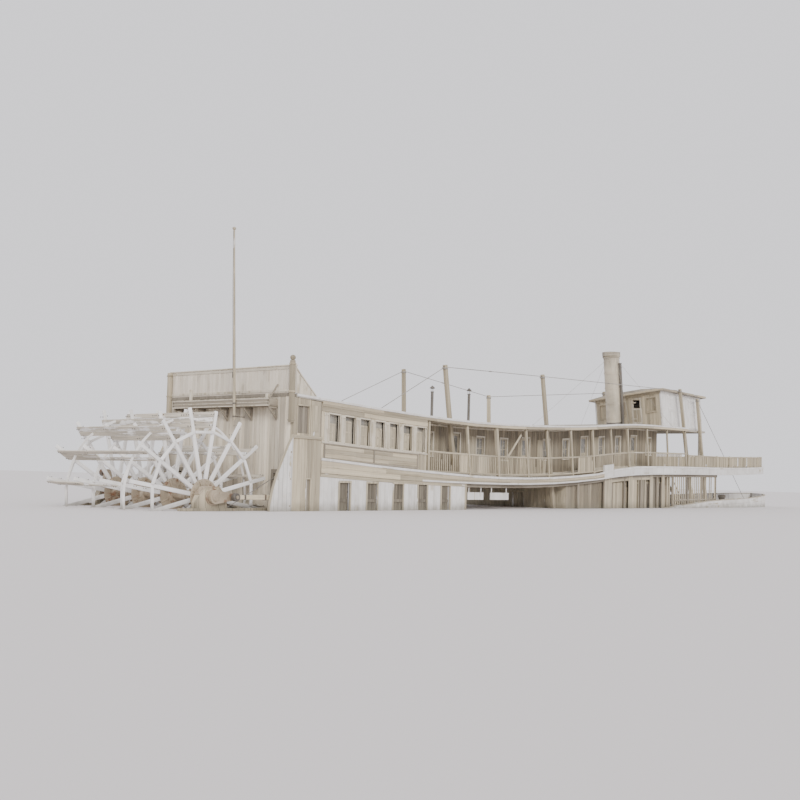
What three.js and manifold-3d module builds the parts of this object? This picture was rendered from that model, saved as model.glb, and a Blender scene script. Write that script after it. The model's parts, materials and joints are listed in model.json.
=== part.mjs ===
// Sternwheel paddle steamer, a 1:2 scale model in millimetres.
// X runs forward to the bow, Y to port, Z up, with the origin under the middle of the flat bottom.
// Every dimension below is the full-size vessel's, in metres, and MODEL turns it into the model's
// millimetres. S is the distance forward of the stern bulkhead; heights are above the water line.
import * as THREE from "three";
import { mergeVertices } from "three/addons/utils/BufferGeometryUtils.js";
import Module from "manifold-3d";

const wasm = await Module();
wasm.setup();

// Scale and frame
const MODEL = 500; // millimetres of the model to a metre of the vessel
const GAP = 0.3 / MODEL; // between pieces that touch
const PIN_GAP = 0.15 / MODEL; // at a turning pin's corners
const RUN = 6 / MODEL; // round a moving door leaf
const KEEL = -3.1; // flat bottom, below the water line
const WHEEL = { s: -3.3, z: 0.5, radius: 3.2 }; // paddle wheel's shaft and the tips of its arms
const BOW = 58.2; // stem head
const MIDDLE = (BOW + WHEEL.s - WHEEL.radius) / 2; // the origin's S

// Half breadths
const SIDE = 3.6; // deck edge and outer face of the side walls
const WALL = 0.1; // thickness of the side walls and bulkheads
const GUARD = 0.3; // deck edge beyond the hull's side
const SHOULDER = 42; // S where the decks begin to round in to the bow

// Sheer of the upper deck's edge: the hull has hogged, so it dips amidships and climbs to the bow
const SHEER = [
  // [S, height]
  [-1, 1.92],
  [7, 1.62],
  [14, 1.55],
  [19, 1.64],
  [23.5, 1.9],
  [28, 2.27],
  [34, 2.46],
  [44, 2.64],
  [59, 3.12],
];
const MAIN_STOREY = 3.05; // main deck to upper deck
// Upper deck to roof: lower over the saloon, whose storey grows forward between two stations
const STOREY = { aft: 2.5, fore: 2.64, from: 12, to: 19.2 };
const DECK = 0.12; // planking of each deck
const FASCIA = 0.36; // edge boards under the upper deck
const STEP = 2.4; // S between the stations where the sheer bends

// A smooth curve through the sheer table
function smoothSheer(s) {
  const last = SHEER.length - 2;
  let i = SHEER.findIndex(([from], k) => s < from || k > last) - 1;
  i = Math.min(Math.max(i, 0), last);
  const slope = (k) => {
    const [a, b] = [SHEER[Math.max(k - 1, 0)], SHEER[Math.min(k + 1, last + 1)]];
    return (b[1] - a[1]) / (b[0] - a[0]);
  };
  const [[s0, z0], [s1, z1]] = [SHEER[i], SHEER[i + 1]];
  const span = s1 - s0;
  const t = (s - s0) / span;
  const ends = z0 * (1 + 2 * t) * (1 - t) ** 2 + z1 * t * t * (3 - 2 * t);
  return ends + span * (slope(i) * t * (1 - t) ** 2 - slope(i + 1) * t * t * (1 - t));
}
// Height of the upper deck's surface at S: straight planks between the stations, so that walls,
// rails and decks that follow it all meet without a gap
function upperDeck(s) {
  const before = Math.floor(s / STEP) * STEP;
  const share = (s - before) / STEP;
  return smoothSheer(before) * (1 - share) + smoothSheer(before + STEP) * share;
}
const mainDeck = (s) => upperDeck(s) - MAIN_STOREY;
function roofTop(s) {
  const { aft, fore, from, to } = STOREY;
  const share = Math.min(Math.max((s - from) / (to - from), 0), 1);
  return upperDeck(s) + aft + (fore - aft) * share;
}

// Half breadth of a deck at S, for a deck that ends at the bow
function halfBreadth(s, tip) {
  const t = Math.max((s - SHOULDER) / (tip - SHOULDER), 0);
  return SIDE * Math.max(1 - t ** 3, 0) ** 0.625;
}

function evenly(from, to, step) {
  const count = Math.max(Math.ceil((to - from) / step), 1);
  return Array.from({ length: count + 1 }, (_, i) => from + ((to - from) * i) / count);
}
// Both ends of a stretch, and every station between them
function stations(from, to) {
  const first = Math.floor(from / STEP) + 1;
  const last = Math.ceil(to / STEP) - 1;
  const between = Array.from({ length: Math.max(last - first + 1, 0) }, (_, i) => (first + i) * STEP);
  return [from, ...between.filter((s) => s > from + 0.001 && s < to - 0.001), to];
}

// Solids: each takes full-size metres and gives the model's millimetres
function solid(geometry) {
  const flat = geometry.scale(MODEL, MODEL, MODEL);
  flat.deleteAttribute("normal");
  flat.deleteAttribute("uv");
  const merged = mergeVertices(flat, 0.001);
  return new wasm.Manifold(
    new wasm.Mesh({
      numProp: 3,
      vertProperties: new Float32Array(merged.attributes.position.array),
      triVerts: new Uint32Array(merged.index.array),
    }),
  );
}
const join = (...solids) => solids.flat().reduce((a, b) => a.add(b));
const cut = (body, ...tools) => tools.flat().reduce((a, b) => a.subtract(b), body);
const meet = (a, b) => a.intersect(b);

function prism(points, depth, basis, origin) {
  const shape = new THREE.Shape(points.map(([u, v]) => new THREE.Vector2(u, v)));
  const geometry = new THREE.ExtrudeGeometry(shape, { depth, bevelEnabled: false, steps: 1 });
  const matrix = new THREE.Matrix4().makeBasis(...basis).setPosition(...origin);
  return solid(geometry.applyMatrix4(matrix));
}
const X = new THREE.Vector3(1, 0, 0);
const Y = new THREE.Vector3(0, 1, 0);
const Z = new THREE.Vector3(0, 0, 1);
// An outline drawn in S and height, from one Y to a higher one
const sideOn = (points, y0, y1) => prism(points, y1 - y0, [X, Z, Y.clone().negate()], [0, y1, 0]);
// An outline drawn in S and Y, from one height to a higher one
const fromAbove = (points, z0, z1) => prism(points, z1 - z0, [X, Y, Z], [0, 0, z0]);
// An outline drawn in Y and height, from one S to a higher one
const endOn = (points, s0, s1) => prism(points, s1 - s0, [Y, Z, X], [s0, 0, 0]);
function box(s0, s1, y0, y1, z0, z1) {
  const geometry = new THREE.BoxGeometry(s1 - s0, y1 - y0, z1 - z0);
  return solid(geometry.translate((s0 + s1) / 2, (y0 + y1) / 2, (z0 + z1) / 2));
}
function rod(from, to, radius, sides = 8, endRadius = radius) {
  const [a, b] = [new THREE.Vector3(...from), new THREE.Vector3(...to)];
  const along = b.clone().sub(a);
  const geometry = new THREE.CylinderGeometry(endRadius, radius, along.length(), sides);
  const turn = new THREE.Quaternion().setFromUnitVectors(Y, along.clone().normalize());
  const middle = a.add(b).multiplyScalar(0.5);
  return solid(geometry.applyQuaternion(turn).translate(middle.x, middle.y, middle.z));
}
const ball = (s, y, z, radius) =>
  solid(new THREE.SphereGeometry(radius, 10, 8).translate(s, y, z));
// The hole round a many-sided pin: one that turns in it clears the corners, one that doesn't fits
const bore = (radius, sides) => (radius + PIN_GAP) / Math.cos(Math.PI / sides);
const snugBore = (radius) => radius + 1.1 * GAP;

// A band between two heights that follow the sheer, across from one Y to another
function band(s0, s1, low, high, y0, y1) {
  const along = stations(s0, s1);
  const points = along.map((s) => [s, low(s)]);
  return sideOn([...points, ...along.reverse().map((s) => [s, high(s)])], y0, y1);
}
// The plan of a deck, or of a ring inset from its edge, for cutting bands to the bow's shape
const TALL = 20;
const bowStations = (from, tip) => [from, ...evenly(SHOULDER, tip, 1.3)];
function planHalf(from, tip, inset) {
  return bowStations(from, tip - inset).map((s) => [
    s,
    Math.max(halfBreadth(s + (inset * (s - from)) / (tip - from), tip) - inset, 0),
  ]);
}
function plan(from, tip, inset = 0) {
  const half = planHalf(from, tip, inset);
  const mirrored = half.slice(0, -1).reverse();
  const points = [...half.map(([s, y]) => [s, -y]), ...mirrored];
  return fromAbove(points, -TALL, TALL);
}
const ring = (from, tip, outer, inner) =>
  cut(plan(from, tip, outer), plan(from - 1, tip, inner));

// Scene graph: named meshes in one group
const ship = new THREE.Group();
const FINISH = {
  // colour, roughness, metalness
  white: [0xe6dfd0, 0.75, 0],
  cream: [0xd8cdb4, 0.75, 0],
  boards: [0x9a8468, 0.85, 0],
  deck: [0x8b7a62, 0.9, 0],
  canvas: [0xa79a82, 0.9, 0],
  iron: [0x5b5148, 0.55, 0.6],
  dark: [0x3a332c, 0.7, 0.2],
};
function add(name, body, finish) {
  const mesh = body.getMesh();
  const geometry = new THREE.BufferGeometry();
  geometry.setAttribute("position", new THREE.BufferAttribute(mesh.vertProperties, 3));
  geometry.setIndex(new THREE.BufferAttribute(mesh.triVerts, 1));
  const [color, roughness, metalness] = FINISH[finish];
  const part = new THREE.Mesh(
    geometry,
    new THREE.MeshStandardMaterial({ color, roughness, metalness }),
  );
  part.name = name;
  ship.add(part);
}
// Port is +Y. A pair is drawn on the starboard side and mirrored.
function addPair(name, body, finish) {
  add(name + "_starboard", body, finish);
  add(name + "_port", body.mirror([0, 1, 0]), finish);
}

// Hull: flat bottom, raked stern under the deck, curved stem
const TRANSOM = 0.45;
const hullTop = (s) => mainDeck(s) - DECK - GAP;
const STEM = [
  // [S, height] up the stem from the bottom
  [48, KEEL],
  [52.5, -2.75],
  [55.5, -2.1],
  [57.2, -1.2],
  [57.8, -0.3],
];
const hullLines = [
  [TRANSOM, -1.95],
  [3.6, KEEL],
  ...STEM,
  ...stations(TRANSOM, 58).reverse().map((s) => [s, hullTop(s)]),
];
add("hull", meet(sideOn(hullLines, -SIDE, SIDE), plan(TRANSOM - 1, BOW - 0.1, GUARD)), "white");

// Rudders hang from the main deck ahead of the wheel
const RUDDER = { s: 0.3, y: 1.6, stock: 0.07, sides: 12, head: 0.12 };
const rudderHole = rod(
  [RUDDER.s, -RUDDER.y, KEEL],
  [RUDDER.s, -RUDDER.y, 0],
  bore(RUDDER.stock, RUDDER.sides),
  RUDDER.sides,
);
const blade = [
  [RUDDER.s - 1.05, -2.95],
  [RUDDER.s + 0.62, -2.95],
  [RUDDER.s + 0.62, -2.3],
  [RUDDER.s, -2.02],
  [RUDDER.s - 1.05, -1.86],
];
const stockAt = (z0, z1, radius) =>
  rod([RUDDER.s, -RUDDER.y, z0], [RUDDER.s, -RUDDER.y, z1], radius, RUDDER.sides);
addPair(
  "rudder",
  join(
    sideOn(blade, -RUDDER.y - 0.045, -RUDDER.y + 0.045),
    stockAt(-2.9, mainDeck(0) + 0.05, RUDDER.stock),
    stockAt(mainDeck(RUDDER.s - RUDDER.head) + GAP, mainDeck(0) + 0.12, RUDDER.head),
  ),
  "iron",
);

// Main deck with its guards, and the level bed of the capstan
const CAPSTAN = { s: 51.6, bed: 0.42 };
const capstanFoot = mainDeck(CAPSTAN.s) + 0.07;
const capstanBed = box(
  CAPSTAN.s - CAPSTAN.bed,
  CAPSTAN.s + CAPSTAN.bed,
  -CAPSTAN.bed,
  CAPSTAN.bed,
  mainDeck(CAPSTAN.s) - DECK / 2,
  capstanFoot,
);
const mainPlan = plan(0, BOW);
const mainSlab = band(0, BOW, (s) => mainDeck(s) - DECK, mainDeck, -SIDE, SIDE);
add(
  "main_deck",
  cut(join(meet(mainSlab, mainPlan), capstanBed), rudderHole, rudderHole.mirror([0, 1, 0])),
  "deck",
);

// Hatch on the fore deck: coaming and lid in one, with a level top
const HATCH = { s0: 46.4, s1: 48.8, half: 0.95, top: 0.14 };
add(
  "fore_hatch",
  band(HATCH.s0, HATCH.s1, (s) => mainDeck(s) + GAP, () => HATCH.top, -HATCH.half, HATCH.half),
  "boards",
);

// Bulwark round the bow
const BULWARK = { from: 27, height: 0.96, thick: 0.07, inset: 0.06 };
const bulwarkBand = band(
  BULWARK.from,
  BOW,
  (s) => mainDeck(s) + GAP,
  (s) => mainDeck(s) + BULWARK.height * Math.min(0.35 + (s - BULWARK.from) / 22, 1),
  -SIDE,
  SIDE,
);
add(
  "bow_bulwark",
  meet(bulwarkBand, ring(BULWARK.from, BOW, BULWARK.inset, BULWARK.inset + BULWARK.thick)),
  "white",
);

// Hog trusses: leaning posts and iron rods that stiffen the long hull, one truss each side
const HOG_Y = { starboard: -2.75, port: 2.75 };
const HOG_POST = 0.11; // half its side
const HOG_ROD = 0.02;
const HOG_POSTS = {
  // [S of the top, height of the top, lean aft to a metre of height]
  starboard: [
    [10.62, 6.6, 0.19],
    [19.32, 7.0, 0.2],
    [36.9, 7.75, 0.3],
    [39.8, 7.35, 0.25],
  ],
  port: [
    [14.56, 7.05, 0.05],
    [22.6, 6.35, 0.05],
    [36.9, 7.75, 0.3],
    [39.8, 7.35, 0.25],
  ],
};
const HOG_AFT = [-2.4, 0.12];
const HOG_FORE = [50, mainDeck(50) + 0.02];
function hogTruss(side, clearance) {
  const y = HOG_Y[side];
  const posts = HOG_POSTS[side];
  const route = [HOG_AFT, ...posts.map(([s, top]) => [s, top - 0.1]), HOG_FORE];
  const rods = route.slice(1).map(([s, z], i) => {
    const [s0, z0] = route[i];
    return rod([s0, y, z0], [s, y, z], HOG_ROD + clearance);
  });
  const half = HOG_POST + clearance;
  const leaning = posts.map(([s, top, lean]) => {
    const foot = s + lean * (top - mainDeck(s));
    const outline = [
      [foot - half, mainDeck(foot) - DECK / 2],
      [foot + half, mainDeck(foot) - DECK / 2],
      [s + half, top + clearance],
      [s - half, top + clearance],
    ];
    return sideOn(outline, y - half, y + half);
  });
  return join(leaning, rods);
}
const belowDecks = band(-5, BOW, () => -TALL, (s) => mainDeck(s) + GAP, -SIDE, SIDE);
const TIMBER = { in: 2.66, out: 2.98, top: 0.1, bottom: -0.4, aft: -4.6, fore: 9.3 };
const timberSpace = box(TIMBER.aft, 0, -TIMBER.out, -TIMBER.in, -1, TIMBER.top + GAP);
for (const side of ["starboard", "port"]) {
  const truss = cut(hogTruss(side, 0), belowDecks, timberSpace, timberSpace.mirror([0, 1, 0]));
  add("hog_truss_" + side, truss, "cream");
}
const hogClearance = [hogTruss("starboard", GAP), hogTruss("port", GAP)];

// Cylinder timbers: beams from the main deck aft to the wheel's bearings
const SHAFT = { radius: 0.14, sides: 24 };
const timberLines = [
  [TIMBER.aft, TIMBER.bottom],
  [0.2, TIMBER.bottom],
  [2.4, mainDeck(2.4) + GAP],
  ...stations(3, TIMBER.fore).map((s) => [s, mainDeck(s) + GAP]),
  [TIMBER.fore, mainDeck(TIMBER.fore) + 0.2],
  [7.4, TIMBER.top],
  [TIMBER.aft, TIMBER.top],
];
const BEARING = { half: 0.7, top: 0.84, shoulder: 0.6 };
const bearing = sideOn(
  [
    [WHEEL.s - BEARING.half, TIMBER.top - 0.05],
    [WHEEL.s + BEARING.half, TIMBER.top - 0.05],
    [WHEEL.s + BEARING.half, TIMBER.top + 0.2],
    [WHEEL.s + BEARING.half * 0.8, BEARING.shoulder],
    [WHEEL.s + BEARING.half * 0.4, BEARING.top],
    [WHEEL.s - BEARING.half * 0.4, BEARING.top],
    [WHEEL.s - BEARING.half * 0.8, BEARING.shoulder],
    [WHEEL.s - BEARING.half, TIMBER.top + 0.2],
  ],
  -TIMBER.out + 0.03,
  -TIMBER.in - 0.03,
);
const shaftHole = rod(
  [WHEEL.s, -SIDE, WHEEL.z],
  [WHEEL.s, 0, WHEEL.z],
  bore(SHAFT.radius, SHAFT.sides),
  SHAFT.sides,
);
addPair(
  "cylinder_timber",
  cut(join(sideOn(timberLines, -TIMBER.out, -TIMBER.in), bearing), shaftHole),
  "boards",
);

// Engines: cylinder, guide bars and bed, lying on the timbers
const ENGINE = { y: -3.02, cylinder: 0.26, s0: 4.7, s1: 6.7, guides: 1 };
const guide = { y0: ENGINE.y - 0.16, y1: ENGINE.y + 0.16, top: WHEEL.z + 0.26 };
addPair(
  "engine",
  join(
    rod([ENGINE.s0, ENGINE.y, WHEEL.z + 0.02], [ENGINE.s1, ENGINE.y, WHEEL.z + 0.02], ENGINE.cylinder, 20),
    box(ENGINE.guides, ENGINE.s1, ENGINE.y - 0.2, ENGINE.y + 0.24, TIMBER.top + GAP, WHEEL.z - 0.2),
    box(ENGINE.guides, ENGINE.s0 + 0.1, guide.y0, guide.y1, WHEEL.z + 0.2, guide.top),
    box(ENGINE.guides, ENGINE.guides + 0.1, guide.y0, guide.y1, TIMBER.top + 0.05, guide.top),
    box(ENGINE.s0 + 0.3, ENGINE.s1 - 0.3, ENGINE.y - 0.18, ENGINE.y + 0.18, WHEEL.z, WHEEL.z + 0.5),
  ),
  "iron",
);

// Paddle wheel: shaft with its cranks, arm frames, buckets on iron circles
const CRANK = { in: 3.02, out: 3.16, throw: 0.75, pin: 0.065, pinEnd: 3.45, sides: 16 };
const CRANK_ANGLE = { starboard: 0, port: 90 }; // degrees from forward, turned up; quartered
const shaft = rod([WHEEL.s, -CRANK.out, WHEEL.z], [WHEEL.s, CRANK.out, WHEEL.z], SHAFT.radius, SHAFT.sides);
const cranks = [];
const radians = (degrees) => (degrees * Math.PI) / 180;
function crankPin(side) {
  const angle = radians(CRANK_ANGLE[side]);
  return [WHEEL.s + CRANK.throw * Math.cos(angle), WHEEL.z + CRANK.throw * Math.sin(angle)];
}
const snug = rod(
  [WHEEL.s, -SIDE, WHEEL.z],
  [WHEEL.s, SIDE, WHEEL.z],
  snugBore(SHAFT.radius),
  SHAFT.sides,
);
for (const [side, sign] of [["starboard", -1], ["port", 1]]) {
  const [s, z] = crankPin(side);
  const ends = [CRANK.in * sign, CRANK.out * sign].sort((a, b) => a - b);
  const web = new THREE.Vector2(s - WHEEL.s, z - WHEEL.z).normalize();
  const across = [-web.y * 0.13, web.x * 0.13];
  const outline = [
    [WHEEL.s + across[0] * 1.9, WHEEL.z + across[1] * 1.9],
    [WHEEL.s - across[0] * 1.9, WHEEL.z - across[1] * 1.9],
    [s - across[0], z - across[1]],
    [s + across[0], z + across[1]],
  ];
  cranks.push(
    sideOn(outline, ...ends),
    rod([WHEEL.s, ends[0], WHEEL.z], [WHEEL.s, ends[1], WHEEL.z], 0.25, SHAFT.sides),
    rod([s, ends[0], z], [s, ends[1], z], 0.13, CRANK.sides),
    rod([s, ends[sign < 0 ? 1 : 0], z], [s, CRANK.pinEnd * sign, z], CRANK.pin, CRANK.sides),
  );
}
add("wheel_shaft", join(shaft, cranks), "iron");
const FRAMES = [-2.45, -0.82, 0.82, 2.45];
const ARM = { count: 16, half: 0.075, thick: 0.09 };
const HUB = { radius: 0.5, thick: 0.12 };
const CIRCLE = { inner: 2.24, outer: 2.35 };
const SECTOR = 360 / ARM.count;
const PHASE = 13.5; // degrees from forward up to the first arm
const about = (body, degrees) =>
  body
    .translate([-WHEEL.s * MODEL, 0, -WHEEL.z * MODEL])
    .rotate([0, -degrees, 0])
    .translate([WHEEL.s * MODEL, 0, WHEEL.z * MODEL]);
const disc = (y, thick, radius, sides) =>
  rod([WHEEL.s, y - thick / 2, WHEEL.z], [WHEEL.s, y + thick / 2, WHEEL.z], radius, sides);
const circle = (y, thick, inner, outer) =>
  cut(disc(y, thick, outer, ARM.count), disc(y, thick * 2, inner, ARM.count));
const spokes = Array.from({ length: ARM.count }, (_, i) => i * SECTOR);
FRAMES.forEach((y, i) => {
  const arm = box(
    WHEEL.s + 0.2,
    WHEEL.s + WHEEL.radius,
    y - ARM.thick / 2,
    y + ARM.thick / 2,
    WHEEL.z - ARM.half,
    WHEEL.z + ARM.half,
  );
  const frame = join(
    disc(y, HUB.thick, HUB.radius, ARM.count),
    circle(y, ARM.thick * 0.8, CIRCLE.inner, CIRCLE.outer),
    spokes.map((angle) => about(arm, angle)),
  );
  add("wheel_frame_" + (i + 1), cut(about(frame, PHASE), snug), "white");
});
const BUCKET = { inner: 2.46, outer: 3.02, thick: 0.05, half: 2.5 };
const BANDS = [-1.65, 1.65];
const bucket = box(
  WHEEL.s + BUCKET.inner,
  WHEEL.s + BUCKET.outer,
  -BUCKET.half,
  BUCKET.half,
  WHEEL.z + ARM.half + GAP,
  WHEEL.z + ARM.half + BUCKET.thick,
);
add(
  "paddle_buckets",
  about(
    join(
      spokes.map((angle) => about(bucket, angle)),
      BANDS.map((y) => circle(y, 0.05, 2.72, 2.82)),
    ),
    PHASE,
  ),
  "white",
);

// Pitmans: rods from the crank pins forward to the engines
const PITMAN = { in: 3.25, out: 3.42, length: 5, deep: 0.11, eye: 0.15 };
for (const [side, sign] of [["starboard", -1], ["port", 1]]) {
  const [s, z] = crankPin(side);
  const fall = z - WHEEL.z;
  const foreS = s + Math.sqrt(PITMAN.length ** 2 - fall ** 2);
  const ends = [PITMAN.in * sign, PITMAN.out * sign].sort((a, b) => a - b);
  const lean = new THREE.Vector2(foreS - s, WHEEL.z - z).normalize();
  const at = (along, up) => [s + lean.x * along - lean.y * up, z + lean.y * along + lean.x * up];
  const beam = [
    at(0, -0.07),
    at(PITMAN.length / 2, -PITMAN.deep),
    at(PITMAN.length, -0.06),
    at(PITMAN.length, 0.06),
    at(PITMAN.length / 2, PITMAN.deep),
    at(0, 0.07),
  ];
  const pitman = join(
    sideOn(beam, ends[0] + 0.02, ends[1] - 0.02),
    rod([s, ends[0], z], [s, ends[1], z], PITMAN.eye, CRANK.sides),
    rod([foreS, ends[0], WHEEL.z], [foreS, ends[1], WHEEL.z], 0.11, CRANK.sides),
  );
  const pinHole = rod([s, -SIDE, z], [s, SIDE, z], bore(CRANK.pin, CRANK.sides), CRANK.sides);
  add("pitman_" + side, cut(pitman, pinHole), "boards");
}

// Boiler with its firebox and smoke box, on the main deck
const SMOKE_BOX = 1.55; // its top
const STACK = { s: 33.74, radius: 0.5, top: 9.8, sides: 28 }; // S at the smoke box
const LEAN = 0.155; // of the stack and the escape pipe, aft to a metre of height
const BOILER = { s0: 25.6, s1: 34.3, radius: 0.85, z: 0.62 };
add(
  "boiler",
  join(
    rod([BOILER.s0 + 1.4, 0, BOILER.z], [BOILER.s1 - 1.1, 0, BOILER.z], BOILER.radius, 28),
    band(BOILER.s0, BOILER.s0 + 1.8, (s) => mainDeck(s) + GAP, () => 1.3, -1.1, 1.1),
    band(BOILER.s1 - 1.3, BOILER.s1, (s) => mainDeck(s) + GAP, () => SMOKE_BOX, -0.95, 0.95),
    band(BOILER.s0 + 1.7, BOILER.s1 - 1.2, (s) => mainDeck(s) + GAP, () => 0.1, -0.75, 0.75),
  ),
  "iron",
);

// Walls of the main deck
const underUpper = (s) => upperDeck(s) - FASCIA - GAP;
const onMain = (s) => mainDeck(s) + GAP;
const DOORWAY = { from: 3.0, pitch: 1.7, count: 5, width: 0.62, low: -0.95, high: 1.1 };
const HOUSE = { s0: 1.56, s1: 11.4 };
const doorways = Array.from({ length: DOORWAY.count }, (_, i) => {
  const s = DOORWAY.from + i * DOORWAY.pitch;
  const half = DOORWAY.width / 2;
  return box(s - half, s + half, -SIDE - 1, -SIDE + 1, DOORWAY.low, DOORWAY.high);
});
addPair(
  "house_side",
  cut(band(HOUSE.s0, HOUSE.s1, onMain, underUpper, -SIDE + 0.06, -SIDE + 0.06 + WALL - 0.02), doorways),
  "white",
);
const FORE_HOUSE = { s0: 21.2, s1: 34.6, half: 3.2, doors: [26.1, 27.8, 29.6, 31.4, 33.2], width: 0.7 };
const underBeams = (s) => upperDeck(s) - DECK - GAP;
function foreHouse() {
  const { s0, s1, half } = FORE_HOUSE;
  const outside = band(s0, s1, onMain, underBeams, -half, half);
  const inside = band(s0 + WALL, s1 - WALL, () => -TALL, () => TALL, -half + WALL, half - WALL);
  const doors = FORE_HOUSE.doors.map((s) =>
    band(
      s - FORE_HOUSE.width / 2,
      s + FORE_HOUSE.width / 2,
      (x) => mainDeck(x) + 0.15,
      (x) => mainDeck(x) + 2.15,
      -SIDE,
      SIDE,
    ),
  );
  const ends = band(s0 - 1, s1 + 1, (x) => mainDeck(x) + 0.12, (x) => mainDeck(x) + 2.1, -0.6, 0.6);
  return cut(outside, inside, doors, ends);
}
add("boiler_room", foreHouse(), "boards");

// Stern: bulkhead with slots for timbers and pitmans, screen above the roof, gallery, corner walls
const underRoof = (s) => roofTop(s) - DECK - GAP;
const BULKHEAD = { half: SIDE - WALL - GAP, slotTop: 1.45 };
const bulkheadBody = band(0, WALL, onMain, (s) => roofTop(s) + 0.02, -BULKHEAD.half, BULKHEAD.half);
const slot = box(-1, 1, -SIDE, -TIMBER.in + GAP + 0.03, -TALL, BULKHEAD.slotTop);
add("stern_bulkhead", cut(bulkheadBody, slot, slot.mirror([0, 1, 0]), hogClearance), "boards");
const SCREEN = { low: roofTop(0) + 0.02 + GAP, high: 5.43 };
const screenWing = sideOn(
  [
    [0, SCREEN.low],
    [1.15, roofTop(1.15) + 2 * GAP],
    [0, SCREEN.high - 0.13],
  ],
  -SIDE,
  -SIDE + WALL,
);
add(
  "stern_screen",
  join(
    box(0, 0.08, -SIDE, SIDE, SCREEN.low, SCREEN.high),
    screenWing,
    screenWing.mirror([0, 1, 0]),
  ),
  "cream",
);
const POST = { half: 0.085, low: 3.3, high: 5.62, ball: 0.13 };
const postY = -SIDE + POST.half;
const cornerPost = (y, top) =>
  box(-2 * POST.half - GAP, -GAP, y - POST.half, y + POST.half, POST.low, top);
const postBall = ball(-POST.half - GAP, postY, POST.high + 0.08, POST.ball);
add("corner_post_starboard", join(cornerPost(postY, POST.high), postBall), "cream");
// The port post has lost its ball and its top
add("corner_post_port", cornerPost(-postY, SCREEN.high), "cream");
const GALLERY = { low: 3.9, high: 4.2, half: 2.75, aft: -0.52 };
add(
  "stern_gallery",
  join(
    box(GALLERY.aft, -GAP, -GALLERY.half, GALLERY.half, GALLERY.low, GALLERY.low + 0.07),
    box(GALLERY.aft, GALLERY.aft + 0.07, -GALLERY.half, GALLERY.half, GALLERY.low, GALLERY.high),
    [-2.7, -1.35, 1.35, 2.7].map((y) =>
      sideOn(
        [
          [GALLERY.aft, GALLERY.low + 0.01],
          [-GAP, 3.45],
          [-GAP, GALLERY.low + 0.01],
        ],
        y - 0.04,
        y + 0.04,
      ),
    ),
  ),
  "boards",
);
// The flagstaff leans aft, with its foot against the gallery's rail
const FLAG = { y: -0.95, low: 3.4, bend: 5, high: 10.85, radius: 0.055, tip: 0.032, lean: 0.046 };
const flagAt = (z) => [GALLERY.aft - GAP - FLAG.radius - FLAG.lean * (z - GALLERY.low), FLAG.y, z];
const truck = flagAt(FLAG.high - 0.08);
add(
  "flagstaff",
  join(
    rod(flagAt(FLAG.low), flagAt(FLAG.bend), FLAG.radius, 12),
    rod(flagAt(FLAG.bend), flagAt(FLAG.high - 0.1), FLAG.radius, 12, FLAG.tip),
    ball(...truck, 0.075),
  ),
  "cream",
);
const CORNER = { s1: 1.55, ledge: 2.72 };
const cornerWall = join(
  band(0, CORNER.s1, onMain, underRoof, -SIDE + 0.02, -SIDE + WALL),
  box(0, CORNER.s1, -SIDE - 0.04, -SIDE + WALL, CORNER.ledge, CORNER.ledge + 0.12),
);
addPair(
  "corner_wall",
  cut(
    cornerWall,
    box(0.2, 0.82, -SIDE - 1, -SIDE + 1, CORNER.ledge + 0.2, 3.95),
    box(0.78, 1.0, -SIDE - 1, -SIDE + 1, -0.35, 1.2),
  ),
  "boards",
);
// Curved splash wing beside the forward edge of the wheel
const WING = [
  // [S, height] down the after edge
  [-0.001, 2.85],
  [-0.22, 2.5],
  [-0.48, 2.0],
  [-0.78, 1.4],
  [-1.0, 0.8],
  [-1.14, 0.2],
  [-1.2, -0.5],
  [-1.2, -1.1],
];
addPair(
  "splash_wing",
  sideOn([[-GAP, WING.at(-1)[1]], [-GAP, WING[0][1]], ...WING], -SIDE + 0.01, -SIDE + 0.08),
  "white",
);

// Upper deck, its fascia and the opening for the bow stairs
const UPPER_TIP = 57.3;
const STAIRS = { s0: 39.4, s1: 42.9, half: 0.5 };
const stairHead = STAIRS.s0 - 0.08;
const stairOpening = box(stairHead - GAP, STAIRS.s1, -STAIRS.half - 0.1, STAIRS.half + 0.1, 0, 5);
// The stack and the pipe beside it lean aft together: upright pieces, sheared about the smoke box
const sheared = (body) =>
  body.transform([1, 0, 0, 0, 0, 1, 0, 0, -LEAN, 0, 1, 0, LEAN * SMOKE_BOX * MODEL, 0, 0, 1]);
const stackHole = sheared(
  rod([STACK.s, 0, 0], [STACK.s, 0, TALL], snugBore(STACK.radius), STACK.sides),
);
const ESCAPE = { s: 33.65, y: -0.63, radius: 0.09, top: 9.1, sides: 12 };
const escapeAt = (low, high, radius) =>
  sheared(rod([ESCAPE.s, ESCAPE.y, low], [ESCAPE.s, ESCAPE.y, high], radius, ESCAPE.sides));
const escapeHole = escapeAt(0, TALL, snugBore(ESCAPE.radius));
const deckFrom = WALL + GAP;
const upperSlab = meet(
  band(deckFrom, UPPER_TIP, (s) => upperDeck(s) - DECK, upperDeck, -SIDE, SIDE),
  plan(deckFrom, UPPER_TIP),
);
const fascia = meet(
  band(CORNER.s1, UPPER_TIP, (s) => upperDeck(s) - FASCIA, (s) => upperDeck(s) - 0.05, -SIDE, SIDE),
  ring(CORNER.s1 + GAP, UPPER_TIP, 0, 0.08),
);
const cornerClear = box(-1, CORNER.s1 + GAP, -SIDE - 1, -SIDE + WALL + GAP, 0, 5);
add(
  "upper_deck",
  cut(
    join(upperSlab, fascia),
    cornerClear,
    cornerClear.mirror([0, 1, 0]),
    hogClearance,
    stairOpening,
    stackHole,
    escapeHole,
  ),
  "deck",
);

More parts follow.
